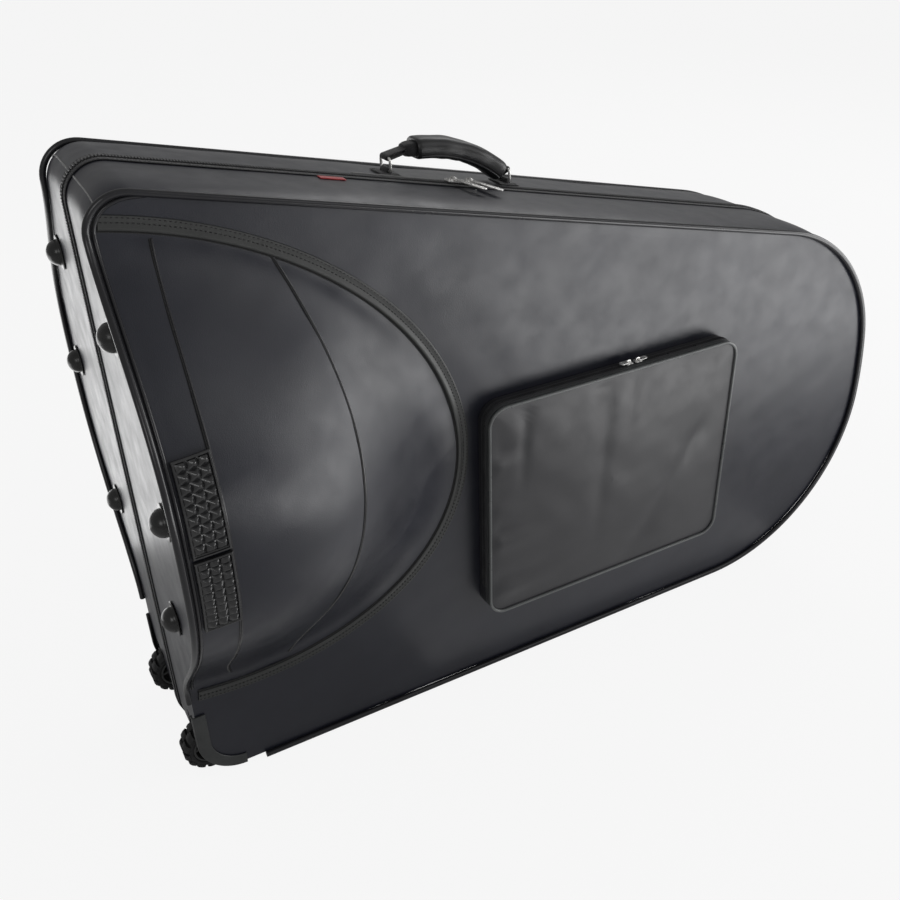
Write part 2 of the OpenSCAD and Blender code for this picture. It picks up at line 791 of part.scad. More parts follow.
module side_tab() {
  color(tab_c) place() on_top(tab_x, -tape_w - 1 - tab_w, seat) cube([tab_len, tab_w, tab_t]);
}

// The pocket's outline, moved in by e
function pocket_points(e) =
  let (r = pocket_r - e, x0 = pocket_x + pocket_r, x1 = pocket_x + pocket_len - pocket_r,
    z0 = pocket_z + pocket_r, z1 = pocket_z + pocket_h - pocket_r)
  concat(round_points([x1, z0], r, -90, 0, 6), round_points([x1, z1], r, 0, 90, 6),
    round_points([x0, z1], r, 90, 180, 6), round_points([x0, z0], r, 180, 270, 6));

pocket_split = shell_depth + pocket_d / 2;
module pocket_slab(y0, y1, e) {
  slab(-y1, -y0) polygon(pocket_points(e));
}

module pocket_ring(y0, y1, e0, e1) {
  difference() {
    pocket_slab(y0, y1, e0);
    pocket_slab(y0 - 1, y1 + 1, e1);
  }
}

// Back sheet of the pocket, on the front shell
module pocket_back() {
  color(lining_c) place() pocket_slab(shell_depth + seat, shell_depth + seat + 1.5, gusset_t + seat);
}

module pocket_band() {
  color(cover_c) place() pocket_ring(shell_depth + seat, pocket_split - seat, 0, gusset_t);
}

module pocket_rim() {
  color(cover_c) place()
    pocket_ring(pocket_split + seat, shell_depth + pocket_d - panel_t - seat, 0, gusset_t);
}

// A row of teeth on the pocket's side band, open along the bottom
module pocket_teeth(y0, y1) {
  side = 5;
  start = 40;
  color(plastic_c) place() difference() {
    pocket_ring(y0, y1, -seat - 1, -seat);
    translate([pocket_x - side, -shell_depth - pocket_d, pocket_z - side])
      cube([pocket_len + 2 * side, 2 * pocket_d, side + start]);
  }
}

module pocket_zip_back() {
  pocket_teeth(pocket_split - 5, pocket_split - seat);
}

module pocket_zip_front() {
  pocket_teeth(pocket_split + seat, pocket_split + 5);
}

module pocket_panel() {
  color(cover_c) place()
    pocket_slab(shell_depth + pocket_d - panel_t, shell_depth + pocket_d, 3.5);
}

module pocket_piping() {
  color(piping_c) place()
    pocket_ring(shell_depth + pocket_d - panel_t, shell_depth + pocket_d + 1, -0.5, 3.2);
}

// The pocket's sliders ride on the top of its side band
module pocket_slider_at(x) {
  place() translate([pocket_x + x, -pocket_split, pocket_z + pocket_h + 2 * seat + 1]) children();
}

p_len = 10;
p_w = 8;
p_h = 4.5;
module pocket_slider(x) {
  color(metal_c) pocket_slider_at(x) difference() {
    union() {
      translate([-p_len / 2, -p_w / 2, 0]) cube([p_len, p_w, 1.5]);
      translate([-p_len / 4, -1.5, 1]) cube([p_len / 2, 3, p_h - 1]);
    }
    translate([0, 0, p_h - 1.9]) rotate([90, 0, 0]) cylinder(r = 0.8 + running, h = p_w * 2, center = true);
  }
}

module pocket_pull(x, s) {
  color(metal_c) pocket_slider_at(x) translate([0, 0, p_h - 1.9]) {
    rotate([90, 0, 0]) cylinder(r = 0.8, h = p_w - 1, center = true);
    for (t = [-1, 1]) translate([s > 0 ? 0 : -7, t * (p_w / 2 - 1.1) - 0.6, -0.6]) cube([7, 1.2, 1.2]);
    translate([s > 0 ? 6.4 : -13.4, -p_w / 2 + 0.5, -0.6]) cube([7, p_w - 1, 1.2]);
  }
}

pocket_pair = 14;
module pocket_left_slider() {
  pocket_slider(pocket_slider_x);
}

module pocket_right_slider() {
  pocket_slider(pocket_slider_x + pocket_pair);
}

module pocket_left_pull() {
  pocket_pull(pocket_slider_x, -1);
}

module pocket_right_pull() {
  pocket_pull(pocket_slider_x + pocket_pair, 1);
}

shell_half();  // back_shell
lining_half();  // back_lining
piping_half();  // back_piping
zip_tape_half();  // back_zip_tape
hinge_strip_half();  // back_hinge_strip
bell_binding_half();  // back_bell_binding
stud_pads_half();  // back_stud_pads
feet_half();  // back_feet
wheel_housing_half();  // back_wheel_housing
corner_guard_half();  // back_corner_guard
axle_half();  // back_axle
wheel_tyre_half();  // back_wheel_tyre
wheel_hub_half();  // back_wheel_hub
front() shell_half();  // front_shell
front() lining_half();  // front_lining
front() piping_half();  // front_piping
front() zip_tape_half();  // front_zip_tape
front() hinge_strip_half();  // front_hinge_strip
front() bell_binding_half();  // front_bell_binding
front() stud_pads_half();  // front_stud_pads
front() feet_half();  // front_feet
front() wheel_housing_half();  // front_wheel_housing
front() corner_guard_half();  // front_corner_guard
front() axle_half();  // front_axle
front() wheel_tyre_half();  // front_wheel_tyre
front() wheel_hub_half();  // front_wheel_hub
bell_blocks_half();  // back_bell_blocks
front() bell_blocks_half();  // front_bell_blocks
bow_block();
neck_rest();
neck_strap();
handle_anchors();
ring(ring_x);  // left_ring
ring(ring_x2);  // right_ring
handle_strap();
handle_grip();
left_slider();
left_pull();
right_slider();
right_pull();
side_tab();
pocket_back();
pocket_band();
pocket_panel();
pocket_rim();
pocket_piping();
pocket_zip_back();
pocket_zip_front();
pocket_left_slider();
pocket_left_pull();
pocket_right_slider();
pocket_right_pull();
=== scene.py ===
"""Looks of the tuba hard case: padded covers, piping, zips, bell bulge, pocket,
handle, wheels and inside. Lengths are in millimetres in the case's own frame, as
in the part's source, and become metres when a mesh is made."""
import math
import bmesh
import bpy
import numpy as np
from mathutils import Matrix, Vector


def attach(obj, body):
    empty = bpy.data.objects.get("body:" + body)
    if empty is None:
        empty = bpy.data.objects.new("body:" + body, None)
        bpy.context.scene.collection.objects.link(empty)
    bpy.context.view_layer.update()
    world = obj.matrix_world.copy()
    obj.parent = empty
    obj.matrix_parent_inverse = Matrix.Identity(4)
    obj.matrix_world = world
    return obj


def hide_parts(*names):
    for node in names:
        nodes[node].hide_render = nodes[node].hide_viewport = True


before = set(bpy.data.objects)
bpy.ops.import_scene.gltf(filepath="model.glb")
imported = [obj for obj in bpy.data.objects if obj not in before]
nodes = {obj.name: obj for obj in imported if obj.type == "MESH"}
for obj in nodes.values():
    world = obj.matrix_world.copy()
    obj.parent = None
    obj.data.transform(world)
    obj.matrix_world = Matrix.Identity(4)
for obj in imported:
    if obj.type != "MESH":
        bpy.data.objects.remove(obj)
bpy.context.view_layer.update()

# ---- Sizes, as in the part's source
X_MID = 507.25
CASE_LEN, END_H, TOP_A = 1030.0, 724.0, math.radians(13)
DEPTH, DRAFT, STRAIGHT = 105.0, 9.0, 55.0
SHELL_T, LINING_T, SEAT = 12.0, 3.0, 0.3
TOP_R, BOTTOM_R, LOW_R, BOW_R = 35.0, 50.0, 247.0, 569.0
BOW_A = math.radians(9.5)
BULGE_LEN, BULGE_HALF, BULGE_Z, BULGE_RISE = 352.0, 269.0, 412.0, 140.0
BULGE_K = math.tan(math.radians(8.8))
PIPE_R = 3.5
EDGE_OUT = (PIPE_R + SEAT) * math.cos(math.pi / 4)


def unit(v):
    v = np.asarray(v, float)
    return v / np.maximum(np.linalg.norm(v, axis=-1, keepdims=True), 1e-12)


def arc(c, r, a0, a1, n, last=True):
    a = np.linspace(a0, a1, n + 1)
    a = a if last else a[:-1]
    return np.column_stack([c[0] + r * np.cos(a), c[1] + r * np.sin(a)])


def line(p, q, n):
    t = np.linspace(0, 1, n + 1)[1:-1, None]
    return np.asarray(p) * (1 - t) + np.asarray(q) * t


TOP_D = END_H * math.cos(TOP_A)
END_C = (CASE_LEN - BOW_R, LOW_R)
HIGH_K = math.sin(BOW_A + TOP_A)
HIGH_R = (TOP_D - END_C[0] * math.sin(TOP_A) - END_C[1] * math.cos(TOP_A) - BOW_R * HIGH_K) / (1 - HIGH_K)
HIGH_C = (END_C[0] + (BOW_R - HIGH_R) * math.cos(BOW_A), END_C[1] + (BOW_R - HIGH_R) * math.sin(BOW_A))


def outline(e, xl=0.0):
    """The case's outline in X and Z, moved out by e, with its bell end at xl."""
    tc = (xl + TOP_R, (TOP_D + e - TOP_R - (xl + TOP_R) * math.sin(TOP_A)) / math.cos(TOP_A))
    bc = (xl + BOTTOM_R, BOTTOM_R - e)
    low = arc((CASE_LEN - LOW_R, LOW_R), LOW_R + e, -math.pi / 2, 0, 56, False)
    end = arc(END_C, BOW_R + e, 0, BOW_A, 14, False)
    high = arc(HIGH_C, HIGH_R + e, BOW_A, math.pi / 2 - TOP_A, 44)
    top = arc(tc, TOP_R, math.pi / 2 - TOP_A, math.pi, 18)
    bottom = arc(bc, BOTTOM_R, math.pi, 1.5 * math.pi, 20)
    return np.vstack([low, end, high, line(high[-1], top[0], 84), top,
                      line(top[-1], bottom[0], 66), bottom, line(bottom[-1], low[0], 84)])


N_LOOP = len(outline(0))


def top_z(x):
    return END_H - x * math.tan(TOP_A)


def bulge(x, z, inset=0.0):
    """How far the bulge stands out of the flat face."""
    u = (x - inset) / (BULGE_LEN - inset)
    w = (z - BULGE_Z + BULGE_K * BULGE_LEN * u) / (BULGE_HALF - inset)
    r = np.clip(np.hypot(u, w), 0, 1)
    return BULGE_RISE * (1 - r ** 2.6) ** 1.8


def face_y(x, z):
    return DEPTH + bulge(x, z)


def face_normal(x, z):
    e = 0.5
    gx = (bulge(x + e, z) - bulge(x - e, z)) / (2 * e)
    gz = (bulge(x, z + e) - bulge(x, z - e)) / (2 * e)
    return unit(np.stack([-gx, np.ones_like(gx), -gz], -1))


def bulge_point(r, a, out=0.0):
    """A point in X and Z at the share r of the bulge's size and the angle a."""
    u = (BULGE_LEN + out) * r * np.cos(a)
    return np.stack([u, BULGE_Z + (BULGE_HALF + out) * r * np.sin(a) - BULGE_K * BULGE_LEN * r * np.cos(a)], -1)


def waves(p, size, seed, n=9):
    """Smooth noise of about unit height at points p, from waves of about that size."""
    g = np.random.default_rng(seed)
    total = 0.0
    for _ in range(n):
        d = unit(g.normal(size=p.shape[-1]))
        k = 2 * math.pi / (size * g.uniform(0.6, 1.7))
        total = total + np.sin(p @ d * k + g.uniform(0, 6.28))
    return total / math.sqrt(n)


# ---- Mesh code
def grid(rows, cols, wrap=True, loop=False, base=0, flip=False):
    """Faces of a grid of points; wrap joins its last column to the first."""
    r = np.arange(rows if loop else rows - 1)
    c = np.arange(cols if wrap else cols - 1)
    r, c = [a.ravel() for a in np.meshgrid(r, c, indexing="ij")]
    r1, c1 = (r + 1) % rows, (c + 1) % cols
    f = np.column_stack([r * cols + c, r * cols + c1, r1 * cols + c1, r1 * cols + c]) + base
    return f[:, ::-1].tolist() if flip else f.tolist()


def join(parts):
    verts, faces, base = [], [], 0
    for v, f in parts:
        v = np.asarray(v, float).reshape(-1, 3)
        verts.append(v)
        faces += [[i + base for i in q] for q in f]
        base += len(v)
    return np.vstack(verts), faces


def sweep(path, ups, prof, cap=True, loop=False):
    """A profile, in side and up, carried along a path."""
    path = np.asarray(path, float)
    prof = np.asarray(prof, float)
    t = np.roll(path, -1, 0) - np.roll(path, 1, 0) if loop else np.gradient(path, axis=0)
    t = unit(t)
    ups = np.broadcast_to(np.asarray(ups, float), path.shape)
    side = unit(np.cross(t, ups))
    up = np.cross(side, t)
    if prof.ndim == 2:
        prof = np.broadcast_to(prof, (len(path),) + prof.shape)
    v = path[:, None] + prof[..., 0, None] * side[:, None] + prof[..., 1, None] * up[:, None]
    m = prof.shape[1]
    f = grid(len(path), m, True, loop)
    if cap and not loop:
        f += [list(range(m))[::-1], list(range((len(path) - 1) * m, len(path) * m))]
    return v.reshape(-1, 3), f


def ring_profile(r, n=12, ry=None):
    a = np.linspace(0, 2 * math.pi, n, endpoint=False)
    return np.column_stack([r * np.cos(a), (ry or r) * np.sin(a)])


def soft_rect(w, h, r, n=3):
    """A rectangle w by h with round corners, about its middle."""
    r = min(r, w / 2 - 1e-3, h / 2 - 1e-3)
    pts = []
    for k, (sx, sy) in enumerate([(1, 1), (-1, 1), (-1, -1), (1, -1)]):
        a = np.linspace(0, math.pi / 2, n + 1) + k * math.pi / 2
        pts.append(np.column_stack([sx * (w / 2 - r) + r * np.cos(a), sy * (h / 2 - r) + r * np.sin(a)]))
    return np.vstack(pts)


def lathe(prof, n=32):
    """A profile in radius and height turned about Z."""
    prof = np.asarray(prof, float)
    a = np.linspace(0, 2 * math.pi, n, endpoint=False)
    v = np.stack([prof[:, 0, None] * np.cos(a), prof[:, 0, None] * np.sin(a),
                  np.broadcast_to(prof[:, 1, None], (len(prof), n))], -1)
    f = grid(len(prof), n)
    if prof[0, 0] > 0 and prof[-1, 0] > 0:
        f += [list(range(n))[::-1], list(range((len(prof) - 1) * n, len(prof) * n))]
    return v.reshape(-1, 3), f


def resample(path, step, loop=False):
    path = np.asarray(path, float)
    if loop:
        path = np.vstack([path, path[:1]])
    d = np.r_[0, np.cumsum(np.linalg.norm(np.diff(path, axis=0), axis=1))]
    n = max(int(round(d[-1] / step)), 2)
    s = np.linspace(0, d[-1], n + 1)
    out = np.column_stack([np.interp(s, d, path[:, k]) for k in range(path.shape[1])])
    return out[:-1] if loop else out


def beads(path, ups, pitch, length, r, flat=0.8):
    """A row of stitches along a path: short threads with pointed ends."""
    p = resample(np.hstack([path, np.broadcast_to(ups, np.shape(path))]), pitch)
    mid, up = (p[1:, :3] + p[:-1, :3]) / 2, unit(p[1:, 3:])
    t = unit(p[1:, :3] - p[:-1, :3])
    side = unit(np.cross(t, up))
    up = np.cross(side, t)
    a = np.linspace(0, 2 * math.pi, 5, endpoint=False)
    rows = []
    for x, k in ((-0.5, 0.0), (-0.32, 1.0), (0.32, 1.0), (0.5, 0.0)):
        o = (k * r * (np.cos(a)[None, :, None] * side[:, None] + flat * np.sin(a)[None, :, None] * up[:, None]))
        c = mid + x * length * t - (0.6 * r * up if k == 0 else 0)
        rows.append((c[:, None] + o) if k else c[:, None])
    v = np.concatenate(rows, 1)
    m, base = v.shape[1], np.arange(len(v)) * v.shape[1]
    one = []
    for i in range(5):
        j = (i + 1) % 5
        one += [[0, 1 + j, 1 + i], [1 + i, 1 + j, 6 + j, 6 + i], [6 + i, 6 + j, 11]]
    return v.reshape(-1, 3), [[b + i for i in q] for b in base for q in one]


def make(name, shape, mat, body, replaces=(), sharp=38, s=1, tidy=True):
    """Makes a mesh piece from points in the case's frame; s -1 mirrors it to the front."""
    v, f = shape
    v = np.array(v, float) * [1, s, 1]
    me = bpy.data.meshes.new(name)
    me.from_pydata(((v - [X_MID, 0, 0]) * 0.001).tolist(), [], f)
    me.update()
    bm = bmesh.new()
    bm.from_mesh(me)
    if tidy:
        bmesh.ops.remove_doubles(bm, verts=bm.verts, dist=2e-6)
    bmesh.ops.recalc_face_normals(bm, faces=bm.faces)
    bm.to_mesh(me)
    bm.free()
    ob = bpy.data.objects.new(name, me)
    bpy.context.scene.collection.objects.link(ob)
    finish_mesh(ob, sharp)
    me.materials.append(mat)
    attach(ob, body)
    if replaces:
        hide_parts(*replaces)
    return ob


def finish_mesh(ob, sharp):
    me = ob.data
    me.polygons.foreach_set("use_smooth", [True] * len(me.polygons))
    if sharp:
        me.set_sharp_from_angle(angle=math.radians(sharp))


def cut(ob, boxes, sharp=38):
    """Cuts boxes, given by their corners in the case's frame, out of a closed piece."""
    verts, faces = join([box_shape(*b) for b in boxes])
    me = bpy.data.meshes.new("cutter")
    me.from_pydata(((verts - [X_MID, 0, 0]) * 0.001).tolist(), [], faces)
    tool = bpy.data.objects.new("cutter", me)
    bpy.context.scene.collection.objects.link(tool)
    mod = ob.modifiers.new("cut", "BOOLEAN")
    mod.operation, mod.object, mod.solver = "DIFFERENCE", tool, "MANIFOLD"
    deps = bpy.context.evaluated_depsgraph_get()
    deps.update()
    new = bpy.data.meshes.new_from_object(ob.evaluated_get(deps))
    ob.modifiers.clear()
    ob.data = new
    bpy.data.objects.remove(tool)
    finish_mesh(ob, sharp)


def box_shape(lo, hi):
    lo, hi = np.minimum(lo, hi), np.maximum(lo, hi)
    v = [[(lo, hi)[(i >> k) & 1][k] for k in range(3)] for i in range(8)]
    f = [[0, 2, 3, 1], [4, 5, 7, 6], [0, 1, 5, 4], [2, 6, 7, 3], [0, 4, 6, 2], [1, 3, 7, 5]]
    return np.array(v), f


# ---- Materials
def material(name, colour, rough=0.5, metal=0.0, spec=0.5, sheen=0.0):
    m = bpy.data.materials.new(name)
    m.use_nodes = True
    t = m.node_tree
    b = t.nodes["Principled BSDF"]
    b.inputs["Base Color"].default_value = (*colour, 1)
    b.inputs["Roughness"].default_value = rough
    b.inputs["Metallic"].default_value = metal
    b.inputs["Specular IOR Level"].default_value = spec
    b.inputs["Sheen Weight"].default_value = sheen
    return m, t, b


def node(t, kind, **values):
    n = t.nodes.new(kind)
    for k, v in values.items():
        if k in n.inputs:
            n.inputs[k].default_value = v
        else:
            setattr(n, k, v)
    return n


def coords(t, scale):
    """Object coordinates, so a grain keeps its size in metres."""
    c = node(t, "ShaderNodeTexCoord")
    s = node(t, "ShaderNodeMapping")
    s.inputs["Scale"].default_value = scale if hasattr(scale, "__len__") else (scale,) * 3
    t.links.new(c.outputs["Object"], s.inputs["Vector"])
    return s.outputs["Vector"]


def ramp(t, source, stops):
    r = node(t, "ShaderNodeValToRGB")
    els = r.color_ramp.elements
    while len(els) < len(stops):
        els.new(0.5)
    for e, (p, c) in zip(els, stops):
        e.position = p
        e.color = (*c, 1) if hasattr(c, "__len__") else (c, c, c, 1)
    t.links.new(source, r.inputs["Fac"])
    return r.outputs["Color"]


def bump(t, bsdf, layers):
    """Stacks bumps, each a height output, its strength and its depth in metres."""
    last = None
    for height, strength, depth in layers:
        n = node(t, "ShaderNodeBump", Strength=strength, Distance=depth)
        t.links.new(height, n.inputs["Height"])
        if last:
            t.links.new(last, n.inputs["Normal"])
        last = n.outputs["Normal"]
    t.links.new(last, bsdf.inputs["Normal"])


def noise(t, scale, size, detail=3, rough=0.5):
    n = node(t, "ShaderNodeTexNoise", Scale=size, Detail=detail, Roughness=rough)
    t.links.new(coords(t, scale), n.inputs["Vector"])
    return n.outputs["Fac"]


def grain(name, dark, light, rough, cell=900, deep=0.00012, sheen=0.0, spec=0.5):
    """Synthetic leather: fine pebbles, soft colour clouds and uneven gloss."""
    m, t, b = material(name, dark, rough, 0, spec, sheen)
    v = node(t, "ShaderNodeTexVoronoi", Scale=1.0, feature="SMOOTH_F1", Smoothness=0.6)
    t.links.new(coords(t, cell), v.inputs["Vector"])
    cloud = noise(t, 1, 9, 4)
    fine = noise(t, 1, 420, 3)
    t.links.new(ramp(t, cloud, [(0.3, dark), (0.75, light)]), b.inputs["Base Color"])
    t.links.new(ramp(t, noise(t, 1, 35, 4), [(0.3, rough - 0.05), (0.7, rough + 0.06)]), b.inputs["Roughness"])
    bump(t, b, [(v.outputs["Distance"], 0.55, deep), (fine, 0.35, deep), (noise(t, 1, 26, 2), 0.16, 0.0012)])
    return m


def weave(name, dark, light, pitch=0.0011, rough=0.75, deep=0.0002, turn=0.0):
    """Woven cloth: two crossed sets of ribs."""
    m, t, b = material(name, dark, rough, 0, 0.35, 0.25)
    k = math.pi / pitch / 10
    out = []
    for d in ("DIAGONAL", "Z", "Y"):
        w = node(t, "ShaderNodeTexWave", Scale=k, Distortion=0.6, Detail=1, bands_direction=d)
        t.links.new(coords(t, 1), w.inputs["Vector"])
        out.append(w.outputs["Fac"])
    mix = node(t, "ShaderNodeMath", operation="MULTIPLY")
    t.links.new(out[0], mix.inputs[0])
    add = node(t, "ShaderNodeMath", operation="ADD")
    t.links.new(out[1], add.inputs[0])
    t.links.new(out[2], add.inputs[1])
    t.links.new(add.outputs[0], mix.inputs[1])
    t.links.new(ramp(t, mix.outputs[0], [(0.0, dark), (1.0, light)]), b.inputs["Base Color"])
    t.links.new(ramp(t, noise(t, 1, 60), [(0.3, rough - 0.06), (0.7, rough + 0.06)]), b.inputs["Roughness"])
    bump(t, b, [(mix.outputs[0], 0.6, deep)])
    return m


def plastic(name, dark, light, rough=0.42, grit=900, deep=0.00006, spec=0.5):
    """Moulded plastic or rubber: spark-eroded grit, dust and worn gloss."""
    m, t, b = material(name, dark, rough, 0, spec)
    t.links.new(ramp(t, noise(t, 1, 45, 5), [(0.35, dark), (0.7, light)]), b.inputs["Base Color"])
    t.links.new(ramp(t, noise(t, 1, 120, 4), [(0.3, rough - 0.07), (0.75, rough + 0.12)]), b.inputs["Roughness"])
    bump(t, b, [(noise(t, 1, grit, 2), 0.5, deep)])
    return m


def metal(name, colour, rough):
    m, t, b = material(name, colour, rough, 0.75)
    dark = tuple(c * 0.85 for c in colour)
    t.links.new(ramp(t, noise(t, 1, 150, 5), [(0.3, dark), (0.6, colour)]), b.inputs["Base Color"])
    t.links.new(ramp(t, noise(t, (1, 1, 6), 300, 4), [(0.3, rough * 0.7), (0.75, rough * 1.6)]), b.inputs["Roughness"])
    bump(t, b, [(noise(t, 1, 700, 2), 0.12, 0.00003)])
    return m


def plush(name, dark, light):
    """Short pile: speckle, strong sheen and a rough surface."""
    m, t, b = material(name, dark, 0.95, 0, 0.15, 0.8)
    b.inputs["Sheen Roughness"].default_value = 0.4
    pile = noise(t, 1, 1500, 4, 0.7)
    t.links.new(ramp(t, pile, [(0.3, dark), (0.7, light)]), b.inputs["Base Color"])
    bump(t, b, [(pile, 0.8, 0.0006), (noise(t, 1, 30, 3), 0.4, 0.0015)])
    return m


M = {
    "cover": grain("cover", (0.010, 0.011, 0.0175), (0.016, 0.0172, 0.026), 0.35, 1000),
    "pocket": grain("pocket_cloth", (0.016, 0.016, 0.019), (0.024, 0.024, 0.027), 0.42, 1100),
    "piping": grain("piping", (0.012, 0.012, 0.014), (0.020, 0.020, 0.023), 0.22, 1400, 0.00005),
    "welt": grain("pocket_welt", (0.075, 0.080, 0.080), (0.115, 0.120, 0.120), 0.30, 1400, 0.00006),
    "rim": grain("pocket_rim_cloth", (0.042, 0.044, 0.045), (0.062, 0.065, 0.066), 0.45, 1100),
    "band": grain("binding", (0.026, 0.027, 0.026), (0.038, 0.039, 0.038), 0.40, 1300),
    "grip": grain("grip", (0.014, 0.014, 0.015), (0.022, 0.022, 0.023), 0.34, 700, 0.0002),
    "tape": weave("zip_tape", (0.008, 0.008, 0.009), (0.020, 0.020, 0.022)),
    "webbing": weave("webbing", (0.010, 0.010, 0.011), (0.035, 0.035, 0.037), 0.0019, 0.7, 0.0004),
    "hinge": weave("hinge_cloth", (0.008, 0.008, 0.009), (0.016, 0.016, 0.017), 0.0014),
    "thread": weave("thread", (0.020, 0.020, 0.022), (0.060, 0.060, 0.064), 0.0007, 0.55),
    "light_thread": weave("light_thread", (0.22, 0.22, 0.22), (0.36, 0.36, 0.35), 0.0007, 0.5),
    "dark_thread": weave("dark_thread", (0.003, 0.003, 0.003), (0.009, 0.009, 0.010), 0.0007, 0.85),
    "teeth": plastic("zip_teeth", (0.034, 0.034, 0.036), (0.056, 0.056, 0.058), 0.34),
    "black": plastic("black_plastic", (0.010, 0.010, 0.010), (0.019, 0.019, 0.018), 0.26),
    "pad": plastic("pad_rubber", (0.011, 0.011, 0.012), (0.022, 0.022, 0.023), 0.22, spec=0.8),
    "guard": plastic("guard_plastic", (0.036, 0.038, 0.038), (0.050, 0.052, 0.052), 0.45),
    "hub": plastic("hub_plastic", (0.030, 0.031, 0.031), (0.045, 0.046, 0.046), 0.45),
    "tyre": plastic("tyre_rubber", (0.013, 0.013, 0.014), (0.026, 0.026, 0.026), 0.6, 600, 0.00015, 0.4),
    # Light grey cloth for the painted highlight along the back half's edge by the zip.
    "fold": weave("zip_edge_highlight_cloth", (0.16, 0.16, 0.16), (0.26, 0.26, 0.255), 0.0008, 0.5),
    "metal": metal("nickel", (0.88, 0.87, 0.85), 0.26),
    "plush": plush("lining_plush", (0.016, 0.017, 0.022), (0.042, 0.044, 0.052)),
    "foam": plush("block_plush", (0.018, 0.019, 0.024), (0.048, 0.050, 0.058)),
    "tab": weave("tab_cloth", (0.42, 0.020, 0.024), (0.62, 0.05, 0.055), 0.0009, 0.55),
}
HALVES = (("front", -1), ("back", 1))


# ---- Covers and linings
def profile(inset, y0, walls=7, bows=16):
    """Rings of a half's wall from its rim to its flat face: depth and draft, and the share of the bulge."""
    y = np.r_[y0, np.linspace(y0 + 3, STRAIGHT, walls)]
    t = np.linspace(0, math.pi / 2, bows + 1)[1:]
    far = DEPTH - inset - STRAIGHT
    return np.r_[y, STRAIGHT + far * np.sin(t)], np.r_[0 * y, DRAFT * (1 - np.cos(t))], np.r_[0 * y, np.sin(t)]


FACE_MID = np.array([330.0, 345.0])


def skin(inset, y0, walls=7, bows=16, rings=96, face=True):
    """The outer or inner skin of a half as rings of points, and the middle of its face."""
    rows = []
    ys, ds, share = profile(inset, y0, walls, bows)
    edge = outline(-inset - DRAFT, inset)
    lift = np.where(edge[:, 0] < inset + 1, bulge(edge[:, 0], edge[:, 1], inset), 0)
    for y, d, k in zip(ys, ds, share):
        o = outline(-inset - d, inset)
        rows.append(np.column_stack([o[:, 0], y + k * lift, o[:, 1]]))
    for s in np.linspace(1, 0, rings + 1)[1:-1]:
        p = FACE_MID + (edge - FACE_MID) * s
        rows.append(np.column_stack([p[:, 0], DEPTH - inset + bulge(p[:, 0], p[:, 1], inset), p[:, 1]]))
    mid = [FACE_MID[0], DEPTH - inset + bulge(FACE_MID[0], FACE_MID[1], inset), FACE_MID[1]]
    return np.array(rows), np.array(mid), len(ys)


def tray(outer, inner):
    """A closed half tray between two skins, joined at the rim."""
    (a, ma, _), (b, mb, _) = outer, inner
    n = a.shape[1]
    parts = [(a, grid(len(a), n, flip=True)), (b, grid(len(b), n))]
    v, f = join(parts)
    base = len(v)
    off = a.shape[0] * n
    f += [[j, (j + 1) % n, off + (j + 1) % n, off + j] for j in range(n)]
    last, low = (len(a) - 1) * n, off + (len(b) - 1) * n
    f += [[last + (j + 1) % n, last + j, base] for j in range(n)]
    f += [[low + j, low + (j + 1) % n, base + 1] for j in range(n)]
    return np.vstack([v, ma, mb]), f


def cover_shape(seed):
    rows, mid, walls = skin(0, 1.0)
    flat = rows.reshape(-1, 3)
    soft = waves(flat, 150, seed) * 0.45 + waves(flat, 60, seed + 1) * 0.18
    soft = (np.minimum(soft, 0.35) - 0.35).reshape(rows.shape[:2])
    grid_n = unit(np.cross(np.gradient(rows, axis=1), np.gradient(rows, axis=0)))
    fade = np.clip((np.arange(len(rows)) - 1) / 5, 0, 1)[:, None]
    near = np.clip(np.abs(np.arange(len(rows)) - walls + 1) / 4, 0, 1)[:, None]
    rows = rows - grid_n * (soft * fade * near)[..., None] * np.sign(grid_n[-20, 0, 1]) * -1
    return tray((rows, mid, walls), skin(SHELL_T, 1.0, 4, 6, 24))


NOTCH = ((-3, 54.2, -3), (55.3, 101, 73.8))
REBATE = ((59, -1, -3), (782, 29, 1.6))
for half, s in HALVES:
    body = half + "_half"
    cover = make(half + "_cover", cover_shape(3 if s < 0 else 5), M["cover"], body, [half + "_shell"], s=s)
    cut(cover, [(np.multiply(a, (1, s, 1)), np.multiply(b, (1, s, 1))) for a, b in (NOTCH, REBATE)])
    inset = SHELL_T + SEAT
    lining = make(half + "_plush_lining", tray(skin(inset, 2.0, 4, 8, 40), skin(inset + LINING_T, 2.0, 4, 8, 40)),
                  M["plush"], body, [half + "_lining"], s=s)
    a, b = np.array([(-3, 50.9, -3), (58.3, 110, 76.8)])
    cut(lining, [(a * (1, s, 1), b * (1, s, 1))])

# ---- Piping, zip and hinge along the outline
LOOP_START = -80


def outline_path(e, xl, y, z_stop, x_start=None):
    """A path round the outline at a depth y: from the bottom side or from the lower round, up and over to the end wall."""
    o = np.roll(outline(e, xl), 84, 0)
    first = np.argmax(o[:, 0] >= x_start) if x_start is not None else np.argmax((o[:, 1] > z_stop) & (o[:, 0] > 700))
    o = o[first:]
    end = np.flatnonzero((o[:, 0] < xl + 60) & (o[:, 1] < z_stop))
    o = o[:end[0]] if len(end) else o
    return np.column_stack([o[:, 0], np.full(len(o), float(y)), o[:, 1]])


def outward(path):
    t = unit(np.gradient(path, axis=0))
    return unit(np.cross(np.broadcast_to([0.0, 1, 0], t.shape), t))


def pipe_path():
    p = outline_path(EDGE_OUT - DRAFT, -EDGE_OUT, 0, 122, 68)
    slope = (bulge(0, p[:, 2] + 1) - bulge(0, p[:, 2] - 1)) / 2 * (p[:, 0] < 0.5)
    p[:, 1] = DEPTH + EDGE_OUT * np.sqrt(1 + slope ** 2) + bulge(0, p[:, 2]) * (p[:, 0] < 0.5)
    return p


